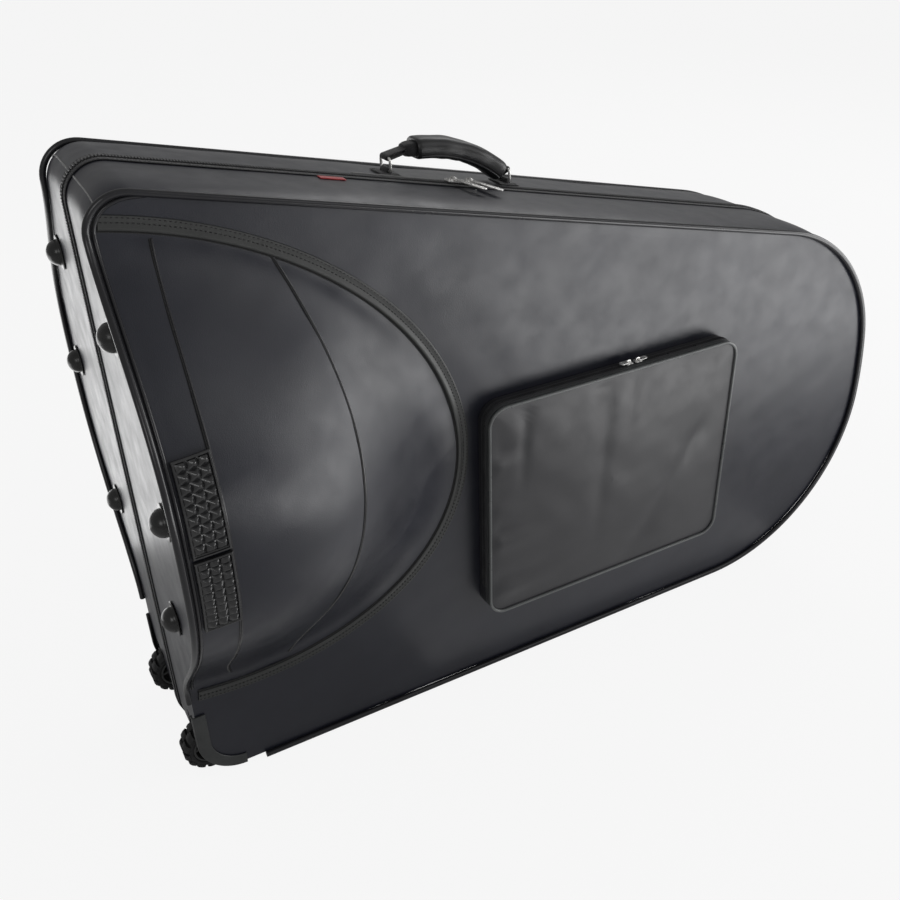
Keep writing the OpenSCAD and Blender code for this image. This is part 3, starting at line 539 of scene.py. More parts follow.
for half, s in HALVES:
    body = half + "_half"
    p = resample(pipe_path(), 4)
    tube = sweep(p, [0, 1, 0], ring_profile(PIPE_R, 14))
    make(half + "_piping_cord", tube, M["piping"], body, [half + "_piping"], s=s)
    p = resample(pipe_path(), 4)
    p = p[(p[:, 0] < 75) & (p[:, 2] > 150)]
    near = np.clip((75 - p[:, 0]) / 55, 0, 1)
    p = p - outward(p) * (6.9 * near ** 2 * (3 - 2 * near))[:, None]
    p[:, 1] = DEPTH + bulge(p[:, 0], p[:, 2]) + 1.3
    make(half + "_inner_cord", sweep(p, face_normal(p[:, 0], p[:, 2]), ring_profile(1.9, 10)), M["piping"], body, s=s)
    tape = outline_path(0, 0, 0, 30)
    n = outward(tape)
    strip = sweep(tape + n * 0.75 + [0, 6.5, 0], n, soft_rect(11, 0.9, 0.4, 2))
    make(half + "_zip_cloth", strip, M["tape"], body, [half + "_zip_tape"], s=s)
    fine = resample(np.hstack([tape, n]), 3.0)
    p, n = fine[:, :3], unit(fine[:, 3:])
    t = unit(np.gradient(p, axis=0))
    teeth = []
    tooth = soft_rect(1.7, 1.5, 0.45, 1)
    for q, m, d in zip(p, n, t):
        ring = q + m * 2.1 + np.outer(tooth[:, 0], d) + np.outer(tooth[:, 1], m)
        inner, outer = ring + [0, 0.15, 0], ring + [0, 4.4, 0]
        k = len(ring)
        teeth.append((np.vstack([inner, outer]), grid(2, k) + [list(range(k))[::-1], list(range(k, 2 * k))]))
    make(half + "_zip_teeth", join(teeth), M["teeth"], body, s=s, tidy=False)
    path = tape + outward(tape) * 1.25 + [0, 10.2, 0]
    make(half + "_zip_stitches", beads(path, outward(tape), 4.2, 3.2, 0.45), M["thread"], body, s=s, tidy=False)
    strip = np.array([[60.0 + 12 * i, 14.3, 0.8] for i in range(61)])
    hinge = sweep(strip, [0, 0, 1], soft_rect(27.4, 0.9, 0.4, 2))
    make(half + "_hinge_cloth", hinge, M["hinge"], body, [half + "_hinge_strip"], s=s)

# ---- Binding round the bulge
for half, s in HALVES:
    body = half + "_half"
    a = np.linspace(-math.pi / 2, math.pi / 2, 121)
    mid = bulge_point(1, a, 7)
    keep = mid[:, 0] > 1.5
    mid = mid[keep]
    path = np.column_stack([mid[:, 0], np.full(len(mid), DEPTH + 0.9), mid[:, 1]])
    prof = np.array([(-7, -0.6), (-6.6, 0.5), (-5.2, 0.8), (-3, 0.4), (-0.6, 0.3), (1.6, 0.5), (3.4, 1.3), (5, 1.6), (6.4, 1.0), (7, -0.6)])
    make(half + "_bell_band", sweep(path, [0, 1, 0], prof), M["band"], body, [half + "_bell_binding"], s=s)
    rows = []
    side = unit(np.cross(unit(np.gradient(path, axis=0)), [0, 1.0, 0]))
    for off in (-4.9, -0.4):
        rows.append(beads(path + side * off + [0, 0.75, 0], [0, 1.0, 0], 4.6, 2.7, 0.6))
    make(half + "_bell_stitches", join(rows), M["dark_thread"], body, s=s, tidy=False)
    # A near-black cord on the bulge's side of the band: painted shadow standing in for the gap between the bulge and
    # the band.
    band_shadow_line = path + side * 7.7 + [0, -0.75, 0]
    make(half + "_bell_painted_shadow", sweep(band_shadow_line, [0, 1, 0], ring_profile(1.1, 6, 0.5)), M["dark_thread"], body, s=s)

# ---- Seams sewn across the bulge and the wall
def dart_path(xs, zs, lift):
    return np.column_stack([xs, face_y(xs, zs), zs]) + face_normal(xs, zs) * lift


def inner_dart(n=160):
    z = np.linspace(152, 626, n)
    x = 201 - np.where(z > 450, 0.00132, 0.0009) * (z - 450) ** 2
    return x, z


def outer_dart(n=160):
    z = np.linspace(157, 665, n)
    return 45 + 7 * np.clip((z - 480) / 190, 0, 1) ** 2 + 9 * np.clip((190 - z) / 45, 0, 1) ** 2, z


ROPE = ring_profile(1.1, 8, 0.8)
for half, s in HALVES:
    body = half + "_half"
    parts, seam_shade_cords = [], []
    for x, z in (inner_dart(), outer_dart()):
        parts.append(sweep(dart_path(x, z, -0.1), face_normal(x, z), ROPE))
        # Beside each seam a near-black cord: painted shade standing in for the dark crease along the seam.
        seam_shade_cords.append(sweep(dart_path(x - 1.8, z, -0.1), face_normal(x - 1.8, z), ring_profile(1.0, 6, 0.4)))
    make(half + "_dart_seams", join(parts), M["piping"], body, s=s)
    make(half + "_dart_painted_shade", join(seam_shade_cords), M["dark_thread"], body, s=s)
    corner = np.column_stack([np.zeros(40), np.linspace(13, 103, 40), np.zeros(40)])
    a = (math.pi - TOP_A + math.pi / 2) / 2 + math.radians(6)
    for row in corner:
        t = min(max((row[1] - STRAIGHT) / 50, 0), 1)
        d = DRAFT * (1 - math.sqrt(max(1 - t * t, 0)))
        c = (TOP_R, (TOP_D - d - TOP_R - TOP_R * math.sin(TOP_A)) / math.cos(TOP_A))
        row[0], row[2] = c[0] + (TOP_R + 0.1) * math.cos(a), c[1] + (TOP_R + 0.1) * math.sin(a)
    out = np.array([math.cos(a), 0, math.sin(a)])
    make(half + "_corner_thread", join([beads(corner, out, 3.4, 2.9, 0.5), sweep(corner - out * 0.25, out, ring_profile(0.8, 6, 0.4))]),
         M["light_thread"], body, s=s, tidy=False)

# ---- Studded pads
def pad_shape(z0, z1, x0=8.0, w=36.0):
    cols = 3
    px = w / (cols + 0.5)
    rows = int(round((z1 - z0) / 9.6))
    pz = (z1 - z0) / (rows + 0.5)
    k = 8
    us = np.r_[0, 0.25, 0.9, 1.7, 2.3, px * 0.25 + np.arange(cols * k + 1) * px / k]
    us = np.r_[us, w - us[4::-1]]
    vs = np.r_[0, 0.25, 0.9, 1.7, 2.3, pz * 0.25 + np.arange(rows * k + 1) * pz / k]
    vs = np.r_[vs, (z1 - z0) - vs[4::-1]]
    U, V = np.meshgrid(us, vs)
    a, b = (U / px - 0.25) % 1.0, (V / pz - 0.25) % 1.0
    inside = (U > px * 0.25 + 1e-6) & (U < w - px * 0.25 - 1e-6) & (V > pz * 0.25 + 1e-6) & (V < z1 - z0 - pz * 0.25 - 1e-6)
    a, b = np.where(a < 0.66, 1 - a / 0.66, (a - 0.66) / 0.34), np.abs(2 * ((b - 0.12) % 1.0) - 1)
    peak = np.clip(1 - np.maximum(a, b), 0, 0.93)
    edge = np.minimum(np.minimum(U, w - U), np.minimum(V, z1 - z0 - V))
    rim = np.where(edge < 2.35, 4.2 - 1.0 * np.clip(1 - edge / 0.9, 0, 1) ** 2, 2.6)
    h = np.where(inside, 2.0 + 5.0 * peak ** 0.9, rim)
    X, Z = U + x0, V + z0
    n = face_normal(X, Z)
    base = np.stack([X, DEPTH + 0.6 + bulge(X, Z), Z], -1)
    topv = base + n * h[..., None]
    r, c = U.shape
    v = np.vstack([topv.reshape(-1, 3), base.reshape(-1, 3)])
    f = grid(r, c, False) + grid(r, c, False, base=r * c, flip=True)
    edge_i = np.r_[np.arange(c), np.arange(1, r) * c + c - 1, np.arange(c - 2, -1, -1) + (r - 1) * c, np.arange(r - 2, 0, -1) * c]
    m = len(edge_i)
    f += [[edge_i[i], edge_i[(i + 1) % m], edge_i[(i + 1) % m] + r * c, edge_i[i] + r * c] for i in range(m)]
    return v, f


for half, s in HALVES:
    body = half + "_half"
    make(half + "_studded_pads", join([pad_shape(421.0, 511.5), pad_shape(332.5, 417.5)]), M["pad"], body,
         [half + "_stud_pads"], sharp=32, s=s)

# ---- Feet, corner guards and wheels
def turned(prof, n, at, axis):
    """A lathed piece whose height runs along +X (axis 0), Y (1) or Z (2), or their opposites."""
    v, f = lathe(prof, n)
    sign = -1 if axis < 0 else 1
    k = abs(axis) - 1
    order = {0: (2, 0, 1), 1: (0, 2, 1), 2: (0, 1, 2)}[k]
    v = v[:, order].copy()
    v[:, k] *= sign
    return v + at, f


FOOT = [(0.01, 0), (18.4, 0), (19, 0.5), (19, 1.3), (18.3, 2.0), (15.2, 2.1), (14.3, 2.0), (14.0, 2.6)]
FOOT += [(14 * math.cos(a), 2.4 + 12.6 * math.sin(a)) for a in np.linspace(0.12, math.pi / 2 - 0.02, 12)]
for half, s in HALVES:
    body = half + "_half"
    feet = [turned(FOOT, 40, (-SEAT, y, z), -1) for y, z in zip((130, 197, 129), (272, 435, 592))]
    make(half + "_round_feet", join(feet), M["black"], body, [half + "_feet"], s=s)
    o = np.roll(outline(-DRAFT, 0), 84, 0)
    o = np.vstack([o, o[:85]])
    keep = (o[:, 0] < 56.5) & (o[:, 1] < 110.5)
    runs = np.flatnonzero(keep)
    runs = runs[runs > 200]
    g = resample(o[runs], 4)
    g = np.column_stack([g[:, 0], np.full(len(g), DEPTH), g[:, 1]])
    prof = np.array([(-11.6, 0.5), (-12, 1.2), (-11.5, 2.0), (-6, 2.4), (1.5, 2.4), (3.2, 1.6), (3.9, 0), (3.9, -5), (3.4, -5.6),
                     (2.5, -5.6), (2.1, -5), (2.1, 0.4), (1.4, 0.5)])
    prof[:, 0] *= -1
    make(half + "_corner_strip", sweep(g, [0, 1, 0], prof), M["guard"], body, [half + "_corner_guard"], s=s)


def tyre_shape():
    w, r, core, inner = 28.0, 32.5, 28.2, 21.45
    a = [(inner, -w / 2 + 1.2), (inner + 1, -w / 2 + 0.3), (25.4, -w / 2), (27.2, -w / 2 + 1.2), (core, -w / 2 + 4), (core, w / 2 - 4),
         (27.2, w / 2 - 1.2), (25.4, w / 2), (inner + 1, w / 2 - 0.3), (inner, w / 2 - 1.2)]
    v, f = lathe(a + a[:1], 84)
    parts = [(v[:, (0, 2, 1)], [q for q in f if len(q) == 4])]
    n = 14
    for i in range(n):
        for side in (-1, 1):
            mid = 2 * math.pi * (i + (0.25 if side > 0 else -0.25)) / n
            wide = 2 * math.pi / n * 0.33
            sec = []
            for t in np.linspace(-1, 1, 5):
                fall = 1.0 if abs(t) < 0.99 else 0.86
                ang = mid + wide * t
                pts = [(26.4, 13.9), (29.6, 14.0), (r - 1.4, 12.4), (r, 10.4), (r, 1.6), (r - 0.9, 0.3), (26.4, -0.8)]
                sec.append([((26.4 + (q - 26.4) * fall) * math.cos(ang), side * y, (26.4 + (q - 26.4) * fall) * math.sin(ang)) for q, y in pts])
            k = len(sec[0])
            parts.append((np.array(sec).reshape(-1, 3), grid(5, k) + [list(range(k))[::-1], list(range(4 * k, 5 * k))]))
    return join(parts)


def hub_shape():
    w = 28.0
    r = 21.15
    rim = [(r, -w / 2 + 1.3), (r, w / 2 - 1.3), (r - 0.8, w / 2 - 0.9), (r - 2.4, w / 2 - 1.2), (r - 3, w / 2 - 2.4), (r - 3.2, 0),
           (r - 3, -w / 2 + 2.4), (r - 2.4, -w / 2 + 1.2), (r - 0.8, -w / 2 + 0.9)]
    v, f = lathe(rim + rim[:1], 64)
    parts = [(v[:, (0, 2, 1)], [q for q in f if len(q) == 4])]
    boss = [(4.05, -w / 2), (7.6, -w / 2), (8.5, -w / 2 + 0.9), (8.5, w / 2 - 0.9), (7.6, w / 2), (4.05, w / 2)]
    v, f = lathe(boss + boss[:1], 40)
    parts.append((v[:, (0, 2, 1)], [q for q in f if len(q) == 4]))
    for i in range(6):
        a = 2 * math.pi * i / 6
        d, t = np.array([math.cos(a), 0, math.sin(a)]), np.array([-math.sin(a), 0, math.cos(a)])
        path = np.array([d * q for q in (7.8, 12, 18.4)])
        prof = np.stack([soft_rect(4.6 if k != 1 else 3.2, 21 - 3 * (k == 1), 1.2, 2) for k in range(3)])
        parts.append(sweep(path, [0, 1, 0], prof))
    return join(parts)


for half, s in HALVES:
    at = np.array([14, 75, 32.5])
    body = half + "_wheel"
    v, f = tyre_shape()
    make(half + "_tyre", (v + at, f), M["tyre"], body, [half + "_wheel_tyre"], s=s)
    v, f = hub_shape()
    make(half + "_hub", (v + at, f), M["hub"], body, [half + "_wheel_hub"], s=s)

# ---- Handle
HY = 34.0
LEFT = np.array([346, HY, top_z(346) + 4.2 / math.cos(TOP_A)])
RIGHT = np.array([500, HY, top_z(500) + 4.2 / math.cos(TOP_A)])
UP = np.array([0, 0, 1.0])
SLOPE = np.array([math.cos(TOP_A), 0, -math.sin(TOP_A)])
NORMAL = np.array([math.sin(TOP_A), 0, math.cos(TOP_A)])
for name, at in (("left_ring", LEFT), ("right_ring", RIGHT)):
    flat = soft_rect(23.8, 14, 3.2, 5)
    path = at + np.column_stack([np.zeros(len(flat)), flat[:, 0], flat[:, 1] + 7])
    make(name + "_wire", sweep(resample(path, 1.2, True), [1, 0, 0], ring_profile(1.6, 12), loop=True), M["metal"], name, [name])

loops = []
for at in (LEFT, RIGHT):
    a = np.linspace(math.radians(215), math.radians(-35), 15)
    up = 4.2 - 0.3
    pts = [(-12.8, 0.4), (-12.4, 1.5), (-5.5, 1.7), (-3.9, up - 2.6)] + [(3.5 * math.cos(q), up + 3.5 * math.sin(q)) for q in a]
    pts += [(3.9, up - 2.6), (5.5, 1.7), (12.4, 1.5), (12.8, 0.4)]
    sec = np.array(pts)
    foot = at - NORMAL * 4.2 + NORMAL * SEAT
    for y0, y1, plate in ((-8.6, 8.6, False), (-15, 15, True)):
        cur = np.array([(-13, 0.1), (-12.7, 1.1), (12.7, 1.1), (13, 0.1)]) if plate else sec
        ys = np.array([y0, y0 + 0.5, y1 - 0.5, y1])
        rows = []
        for y in ys:
            k = 0.97 if y in (y0, y1) else 1.0
            rows.append(foot + np.outer(cur[:, 0] * k, SLOPE) + np.outer(cur[:, 1] * k, NORMAL) + [0, y, 0])
        k = len(cur)
        loops.append((np.vstack(rows), grid(4, k) + [list(range(k))[::-1], list(range(3 * k, 4 * k))]))
make("handle_loops", join(loops), M["webbing"], "back_half", ["handle_anchors"])
threads = []
for at in (LEFT, RIGHT):
    foot = at - NORMAL * 4.2 + NORMAL * (SEAT + 1.45)
    box = soft_rect(23, 27, 1, 1)
    path = foot + np.outer(box[:, 0], SLOPE) + np.outer(box[:, 1], [0, 1, 0])
    threads.append(beads(np.vstack([path, path[:1]]), NORMAL, 2.6, 2.0, 0.35))
make("handle_stitches", join(threads), M["thread"], "back_half", tidy=False)

GRIP_R, GRIP_A = 165.0, math.radians(42)
START = np.array([380, HY, top_z(346) + 23])


def grip_at(a):
    """Middle line of the grip, and its outward side, at an angle."""
    a = np.asarray(a, float)
    mid = START + np.stack([GRIP_R * np.sin(a), 0 * a, GRIP_R * (np.cos(a) - 1)], -1)
    return mid, np.stack([np.sin(a), 0 * a, np.cos(a)], -1)


def grip_shape():
    a = np.linspace(0, GRIP_A, 61)
    mid, up = grip_at(a)
    base = soft_rect(34, 23, 9.6, 7)
    s = np.linspace(0, 1, 61)
    end = np.clip(np.minimum(s, 1 - s) * 61 / 2.2, 0, 1)
    scale = 0.9 + 0.1 * np.sqrt(1 - (1 - end) ** 2)
    prof = base[None] * scale[:, None, None]
    ang = np.arctan2(base[:, 1], base[:, 0])
    fold = np.exp(-((s - 0.5) / 0.22) ** 2)[:, None] * np.clip(-np.sin(ang), 0, 1)[None] ** 0.7
    crease = np.sin(s * 2 * math.pi * 6.5 + 1.3 * np.sin(ang[None].T * 2).T.mean())[:, None] * fold
    wob = waves(np.stack([np.repeat(s[:, None] * 140, len(ang), 1), np.repeat(ang[None] * 12, 61, 0)], -1).reshape(-1, 2), 38, 11)
    grow = 1 + 0.02 * wob.reshape(61, -1) - 0.045 * np.clip(crease, -0.3, 1)
    prof = prof * grow[..., None]
    v, f = sweep(mid, up, prof)
    return v, f


grip = make("padded_grip", grip_shape(), M["grip"], "handle", ["handle_grip"], sharp=50)
a = np.linspace(0.02, GRIP_A - 0.02, 70)
mid, up = grip_at(a)
front_edge = mid + up * -7.2 + np.array([0, -15.6, 0])
out_dir = unit(-up * 0.55 + np.array([0, -1.0, 0]))
make("grip_welt", join([sweep(front_edge + out_dir * 0.4, out_dir, ring_profile(1.2, 8, 1.0)),
                        beads(front_edge + up * 3.4 + np.array([0, -1.35, 0]), [0, -1, 0], 3.2, 2.5, 0.35)]),
     M["piping"], "handle", tidy=False)
core_a = np.linspace(-0.075, 0.03, 6)
mid, up = grip_at(core_a)
prof = np.stack([soft_rect(25 * k, 15 * k, 7 * k, 5) for k in (0.82, 0.95, 1, 1, 1, 1)])
left_core = sweep(mid, up, prof)
core_a = np.linspace(GRIP_A - 0.02, GRIP_A + 0.022, 5)
mid, up = grip_at(core_a)
prof = np.stack([soft_rect(20 * k, 10 * k, 4.5 * k, 5) for k in (1, 1, 1, 0.95, 0.8)])
make("grip_core", join([left_core, sweep(mid, up, prof)]), M["hinge"], "handle")


def strap_loop(bar, to, r, out=0.0):
    """The middle line of a strap that comes from a point, goes round a bar and comes back."""
    d = unit(to - bar)
    n = np.cross(d, [0, 1.0, 0])
    a = np.linspace(math.pi / 2, 1.5 * math.pi, 13)
    turn = [bar + r * (math.cos(q) * d + math.sin(q) * n) for q in a]
    far = [to + n * r * 0.8, to * 0.5 + bar * 0.5 + n * r * 0.92]
    back = [to * 0.5 + bar * 0.5 - n * r * 0.92, to - n * r * 0.8]
    return np.array(far + turn + back)


def strap(path, w, t):
    return sweep(resample(path, 1.6), np.gradient(resample(path, 1.6), axis=0)[:, (0, 1, 2)] @ np.array([[0, 0, 1], [0, 1, 0], [-1, 0, 0]]) + 1e-6,
                 soft_rect(w, t, t * 0.45, 2))


bars = [LEFT + UP * 14, RIGHT + UP * 14]
ends = [START + np.array([-9.0, 0, 0.4]), grip_at(GRIP_A + 0.02)[0]]
parts = [strap(strap_loop(b, e, 2.6), 16.8, 1.5) for b, e in zip(bars, ends)]
make("handle_webbing", join(parts), M["webbing"], "handle", ["handle_strap"])

# A light grey cord along the back half's edge beside the zip: painted highlight standing in for the light caught on
# that edge.
xs = np.linspace(296, 421, 50)
edge = np.column_stack([xs, np.interp(xs, (296, 421), (16.5, 11.6)), top_z(xs)]) + NORMAL * 1.2
make("zip_edge_highlight", sweep(edge, NORMAL, ring_profile(1.0, 8, 0.8)), M["fold"], "back_half")

# ---- Flat metal plates, sliders and pulls
def plate_mesh(loops, thick, bevel):
    """A flat plate with holes, about its middle plane, its edges beveled."""
    cu = bpy.data.curves.new("plate", "CURVE")
    cu.dimensions, cu.fill_mode = "2D", "BOTH"
    cu.extrude, cu.bevel_depth, cu.bevel_resolution = (thick / 2 - bevel) * 0.001, bevel * 0.001, 1
    for pts in loops:
        sp = cu.splines.new("POLY")
        sp.points.add(len(pts) - 1)
        for p, (x, y) in zip(sp.points, pts):
            p.co = (x * 0.001, y * 0.001, 0, 1)
        sp.use_cyclic_u = True
    ob = bpy.data.objects.new("plate", cu)
    bpy.context.scene.collection.objects.link(ob)
    me = bpy.data.meshes.new_from_object(ob.evaluated_get(bpy.context.evaluated_depsgraph_get()))
    v = np.array([p.co[:] for p in me.vertices]) * 1000
    f = [list(p.vertices) for p in me.polygons]
    bpy.data.objects.remove(ob)
    return v, f


def placed(shape, origin, x, y, z):
    v, f = shape
    v = np.asarray(v)
    return np.outer(v[:, 0], x) + np.outer(v[:, 1], y) + np.outer(v[:, 2], z) + origin, f


TEETH_TOP = SEAT + 1.2 + 1.5
COS20, SIN20 = math.cos(math.radians(20)), math.sin(math.radians(20))
PULL_X = COS20 * SLOPE + SIN20 * np.array([0, 1.0, 0])
PULL_Y = SIN20 * SLOPE - COS20 * np.array([0, 1.0, 0])


def body_outline(l, w, waist):
    t = np.linspace(0, 2 * math.pi, 48, endpoint=False)
    x = l / 2 * np.sign(np.cos(t)) * np.abs(np.cos(t)) ** 0.45
    y = w / 2 * np.sign(np.sin(t)) * np.abs(np.sin(t)) ** 0.45
    return np.column_stack([x, y * (1 - waist * np.exp(-(x / (l * 0.22)) ** 2))])


for side, x in (("left", 411.0), ("right", 432.0)):
    org = np.array([x, 0, top_z(x)]) + NORMAL * (TEETH_TOP + SEAT)
    yv = np.array([0, 1.0, 0])
    base = placed(plate_mesh([body_outline(18, 13, 0.12)], 2.0, 0.4), org + NORMAL * 1.0, SLOPE, yv, NORMAL)
    ridge = placed(plate_mesh([body_outline(14.5, 8.5, 0.2)], 1.0, 0.35), org + NORMAL * 2.3, SLOPE, yv, NORMAL)
    arch = np.array([(-4.6, 0.3), (-4.2, 2.2), (-3.0, 3.7), (-1.4, 4.35), (1.4, 4.35), (3.0, 3.7), (4.2, 2.2), (4.6, 0.3)])
    path = org + NORMAL * 1.5 + np.outer(arch[:, 0], -PULL_Y) + np.outer(arch[:, 1] * 0.9, NORMAL)
    bridge = sweep(resample(path, 0.8), PULL_X, soft_rect(1.2, 3.4, 0.5, 2))
    make(side + "_slider_body", join([base, ridge, bridge]), M["metal"], side + "_slider", [side + "_slider"])
    hinge = org + NORMAL * 3.4
    t = np.linspace(-math.pi / 2, math.pi / 2, 15)
    L = 48.0
    body_pts = [(-2.9, -1.6), (-2.9, 5.5), (-4.6, 12), (-4.6, L - 7)]
    body_pts += [(4.6 * math.cos(q), L - 5 + 5.0 * math.sin(q)) for q in np.linspace(math.pi, 0, 17)]
    body_pts += [(4.6, L - 7), (4.6, 12), (2.9, 5.5), (2.9, -1.6)]
    slot_pts = soft_rect(3.0, 3.2, 1.2, 3) + [0, 1.2]
    eye = [(2.3 * math.cos(q), L - 5.6 + (3.0 if math.sin(q) > 0 else 2.0) * math.sin(q)) for q in np.linspace(0, 2 * math.pi, 24, endpoint=False)]
    pull = placed(plate_mesh([body_pts, slot_pts, eye], 1.6, 0.3), hinge, PULL_X, PULL_Y, NORMAL)
    make(side + "_slider_pull", pull, M["metal"], side + "_pull", [side + "_pull"])

# ---- Side tab
x0, x1 = 246.0, 274.0
us = np.linspace(0, 1, 15)
path = np.column_stack([x0 + us * 28, np.full(15, -18.0), top_z(x0 + us * 28)]) + NORMAL * (SEAT + 0.5)
prof = np.array([(-5, -0.45), (5, -0.45), (5.1, 0), (5, 0.45), (-5, 0.45), (-5.3, 0)])
make("red_tab", sweep(path, NORMAL, prof), M["tab"], "front_half", ["side_tab"])

# ---- Pocket
PX, PL, PZ, PH, PR = 380.0, 371.0, 108.0, 300.0, 24.0
SPLIT = DEPTH + 12.5
P_MID = np.array([PX + PL / 2, PZ + PH / 2])


def pocket_loop(e, n=9, m=34):
    """The pocket's outline moved in by e, from the middle of its lower side, anticlockwise."""
    r = PR - e
    x0, x1, z0, z1 = PX + PR, PX + PL - PR, PZ + PR, PZ + PH - PR
    a = [arc((x1, z0), r, -math.pi / 2, 0, n), arc((x1, z1), r, 0, math.pi / 2, n),
         arc((x0, z1), r, math.pi / 2, math.pi, n), arc((x0, z0), r, math.pi, 1.5 * math.pi, n)]
    out = []
    for i in range(4):
        b = a[(i + 1) % 4]
        out += [a[i], line(a[i][-1], b[0], m if i % 2 else m - 6)]
    return np.vstack(out)


def ring_at(e, y):
    p = pocket_loop(e)
    return np.column_stack([p[:, 0], np.full(len(p), float(y)), p[:, 1]])


def band(profile_pts, wob=0.0, seed=0):
    """A closed band round the pocket from a closed profile of inset and depth."""
    rows = np.array([ring_at(e, y) for e, y in profile_pts])
    n = rows.shape[1]
    if wob:
        rows = rows + np.array([0, 1, 0]) * (waves(rows.reshape(-1, 3), 70, seed) * wob).reshape(len(rows), n, 1)
    return rows.reshape(-1, 3), grid(len(rows), n, True, True)


def panel_shape():
    n_ring = 46
    edge = pocket_loop(3.2)
    rows_f, rows_b = [], []
    for k, q in enumerate(np.linspace(1, 0, n_ring + 1)[:-1]):
        p = P_MID + (edge - P_MID) * q
        dx = np.minimum(p[:, 0] - PX, PX + PL - p[:, 0])
        dz = np.minimum(p[:, 1] - PZ, PZ + PH - p[:, 1])
        d = np.minimum(dx, dz)
        crown = 2.6 * (1 - np.exp(-np.maximum(d - 3, 0) / 22))
        u, w = (p[:, 0] - PX) / PL, (p[:, 1] - PZ) / PH
        fold = np.zeros(len(p))
        for fu, top, bot, wide, deep in ((0.13, 1.0, 0.58, 8, 2.6), (0.41, 1.0, 0.74, 6, 2.0), (0.55, 1.0, 0.66, 8, 2.6), (0.45, 0.74, 0.12, 13, 2.2),
                                         (0.89, 1.0, 0.74, 14, 1.8)):
            lean = fu + 0.03 * (w - 0.8)
            along = np.clip((w - bot) / max(top - bot, 0.01), 0, 1) ** 0.8 * np.clip((1.02 - w) / 0.06, 0, 1)
            fold -= deep * along * np.exp(-((u - lean) * PL / wide) ** 2)
        for fw, reach, wide, deep in ((0.73, 60, 9, 2.6), (0.36, 95, 11, 3.2), (0.11, 120, 12, 3.0), (0.52, 45, 9, 1.8)):
            x = (p[:, 0] - PX)
            along = np.clip(1 - x / reach, 0, 1) ** 1.3 * np.clip(x / 10, 0, 1)
            fold += deep * along * (np.exp(-((w - fw) * PH / wide) ** 2) - 0.7 * np.exp(-((w - fw - 0.07) * PH / (wide * 0.9)) ** 2))
        lean = 0.88 - 0.5 * (0.62 - w)
        fold -= 2.0 * np.clip((0.70 - w) / 0.12, 0, 1) * np.clip((w - 0.04) / 0.1, 0, 1) * np.exp(-((u - lean) * PL / 17) ** 2)
        soft = waves(p, 120, 21) * 0.6 + waves(p, 55, 22) * 0.26
        h = np.maximum(crown + (fold + soft) * np.clip((d - 3) / 12, 0, 1), -1.4)
        rows_f.append(np.column_stack([p[:, 0], DEPTH + 25 - 1.6 + h, p[:, 1]]))
        rows_b.append(np.column_stack([p[:, 0], np.full(len(p), DEPTH + 25 - 4.0), p[:, 1]]))
    rows_b = rows_b[::9] + [rows_b[-1]]
    n = len(edge)
    v = np.vstack([np.vstack(rows_f), np.vstack(rows_b)])
    off = n_ring * n
    f = grid(n_ring, n, True, flip=True) + grid(len(rows_b), n, True, base=off)
    f += [[j, (j + 1) % n, off + (j + 1) % n, off + j] for j in range(n)]
    mid = [P_MID[0], DEPTH + 25 - 1.6 + 2.6 + 0.2, P_MID[1]]
    back = [P_MID[0], DEPTH + 21, P_MID[1]]
    k = len(v)
    last, low = (n_ring - 1) * n, off + (len(rows_b) - 1) * n
    f += [[last + (j + 1) % n, last + j, k] for j in range(n)]
    f += [[low + j, low + (j + 1) % n, k + 1] for j in range(n)]
    return np.vstack([v, mid, back]), f


s = -1
panel = make("pocket_front", panel_shape(), M["pocket"], "pocket_flap", ["pocket_panel"], sharp=60, s=s)
make("pocket_side_rim", band([(0.1, SPLIT + 0.4), (-0.1, SPLIT + 2), (0.0, SPLIT + 6.5), (0.6, SPLIT + 8.1), (3.0, SPLIT + 8.1), (3.0, SPLIT + 0.4)], 0.0),
     M["rim"], "pocket_flap", ["pocket_rim"], s=s)
make("pocket_side_band", band([(0.2, DEPTH + 0.3), (-0.3, DEPTH + 2.5), (-0.4, DEPTH + 6), (0.0, SPLIT - 2), (0.1, SPLIT - 0.4), (3.0, SPLIT - 0.4),
                               (3.0, DEPTH + 0.3)]), M["pocket"], "front_half", ["pocket_band"], s=s)
edge = np.column_stack([pocket_loop(1.3)[:, 0], np.full(len(pocket_loop(1.3)), DEPTH + 24.4), pocket_loop(1.3)[:, 1]])
make("pocket_welt", sweep(edge, [0, 1, 0], ring_profile(2.0, 12), loop=True), M["welt"], "pocket_flap", ["pocket_piping"], s=s)
back = ring_at(3.4, DEPTH + 0.4)
rows = np.array([ring_at(3.4, DEPTH + 0.4), ring_at(3.4, DEPTH + 1.7), ring_at(12, DEPTH + 1.8)])
v, f = join([(rows.reshape(-1, 3), grid(3, rows.shape[1]))])
n = rows.shape[1]
f += [list(range(n))[::-1], list(range(2 * n, 3 * n))]
make("pocket_back_sheet", (v, f), M["hinge"], "front_half", ["pocket_back"], s=s)
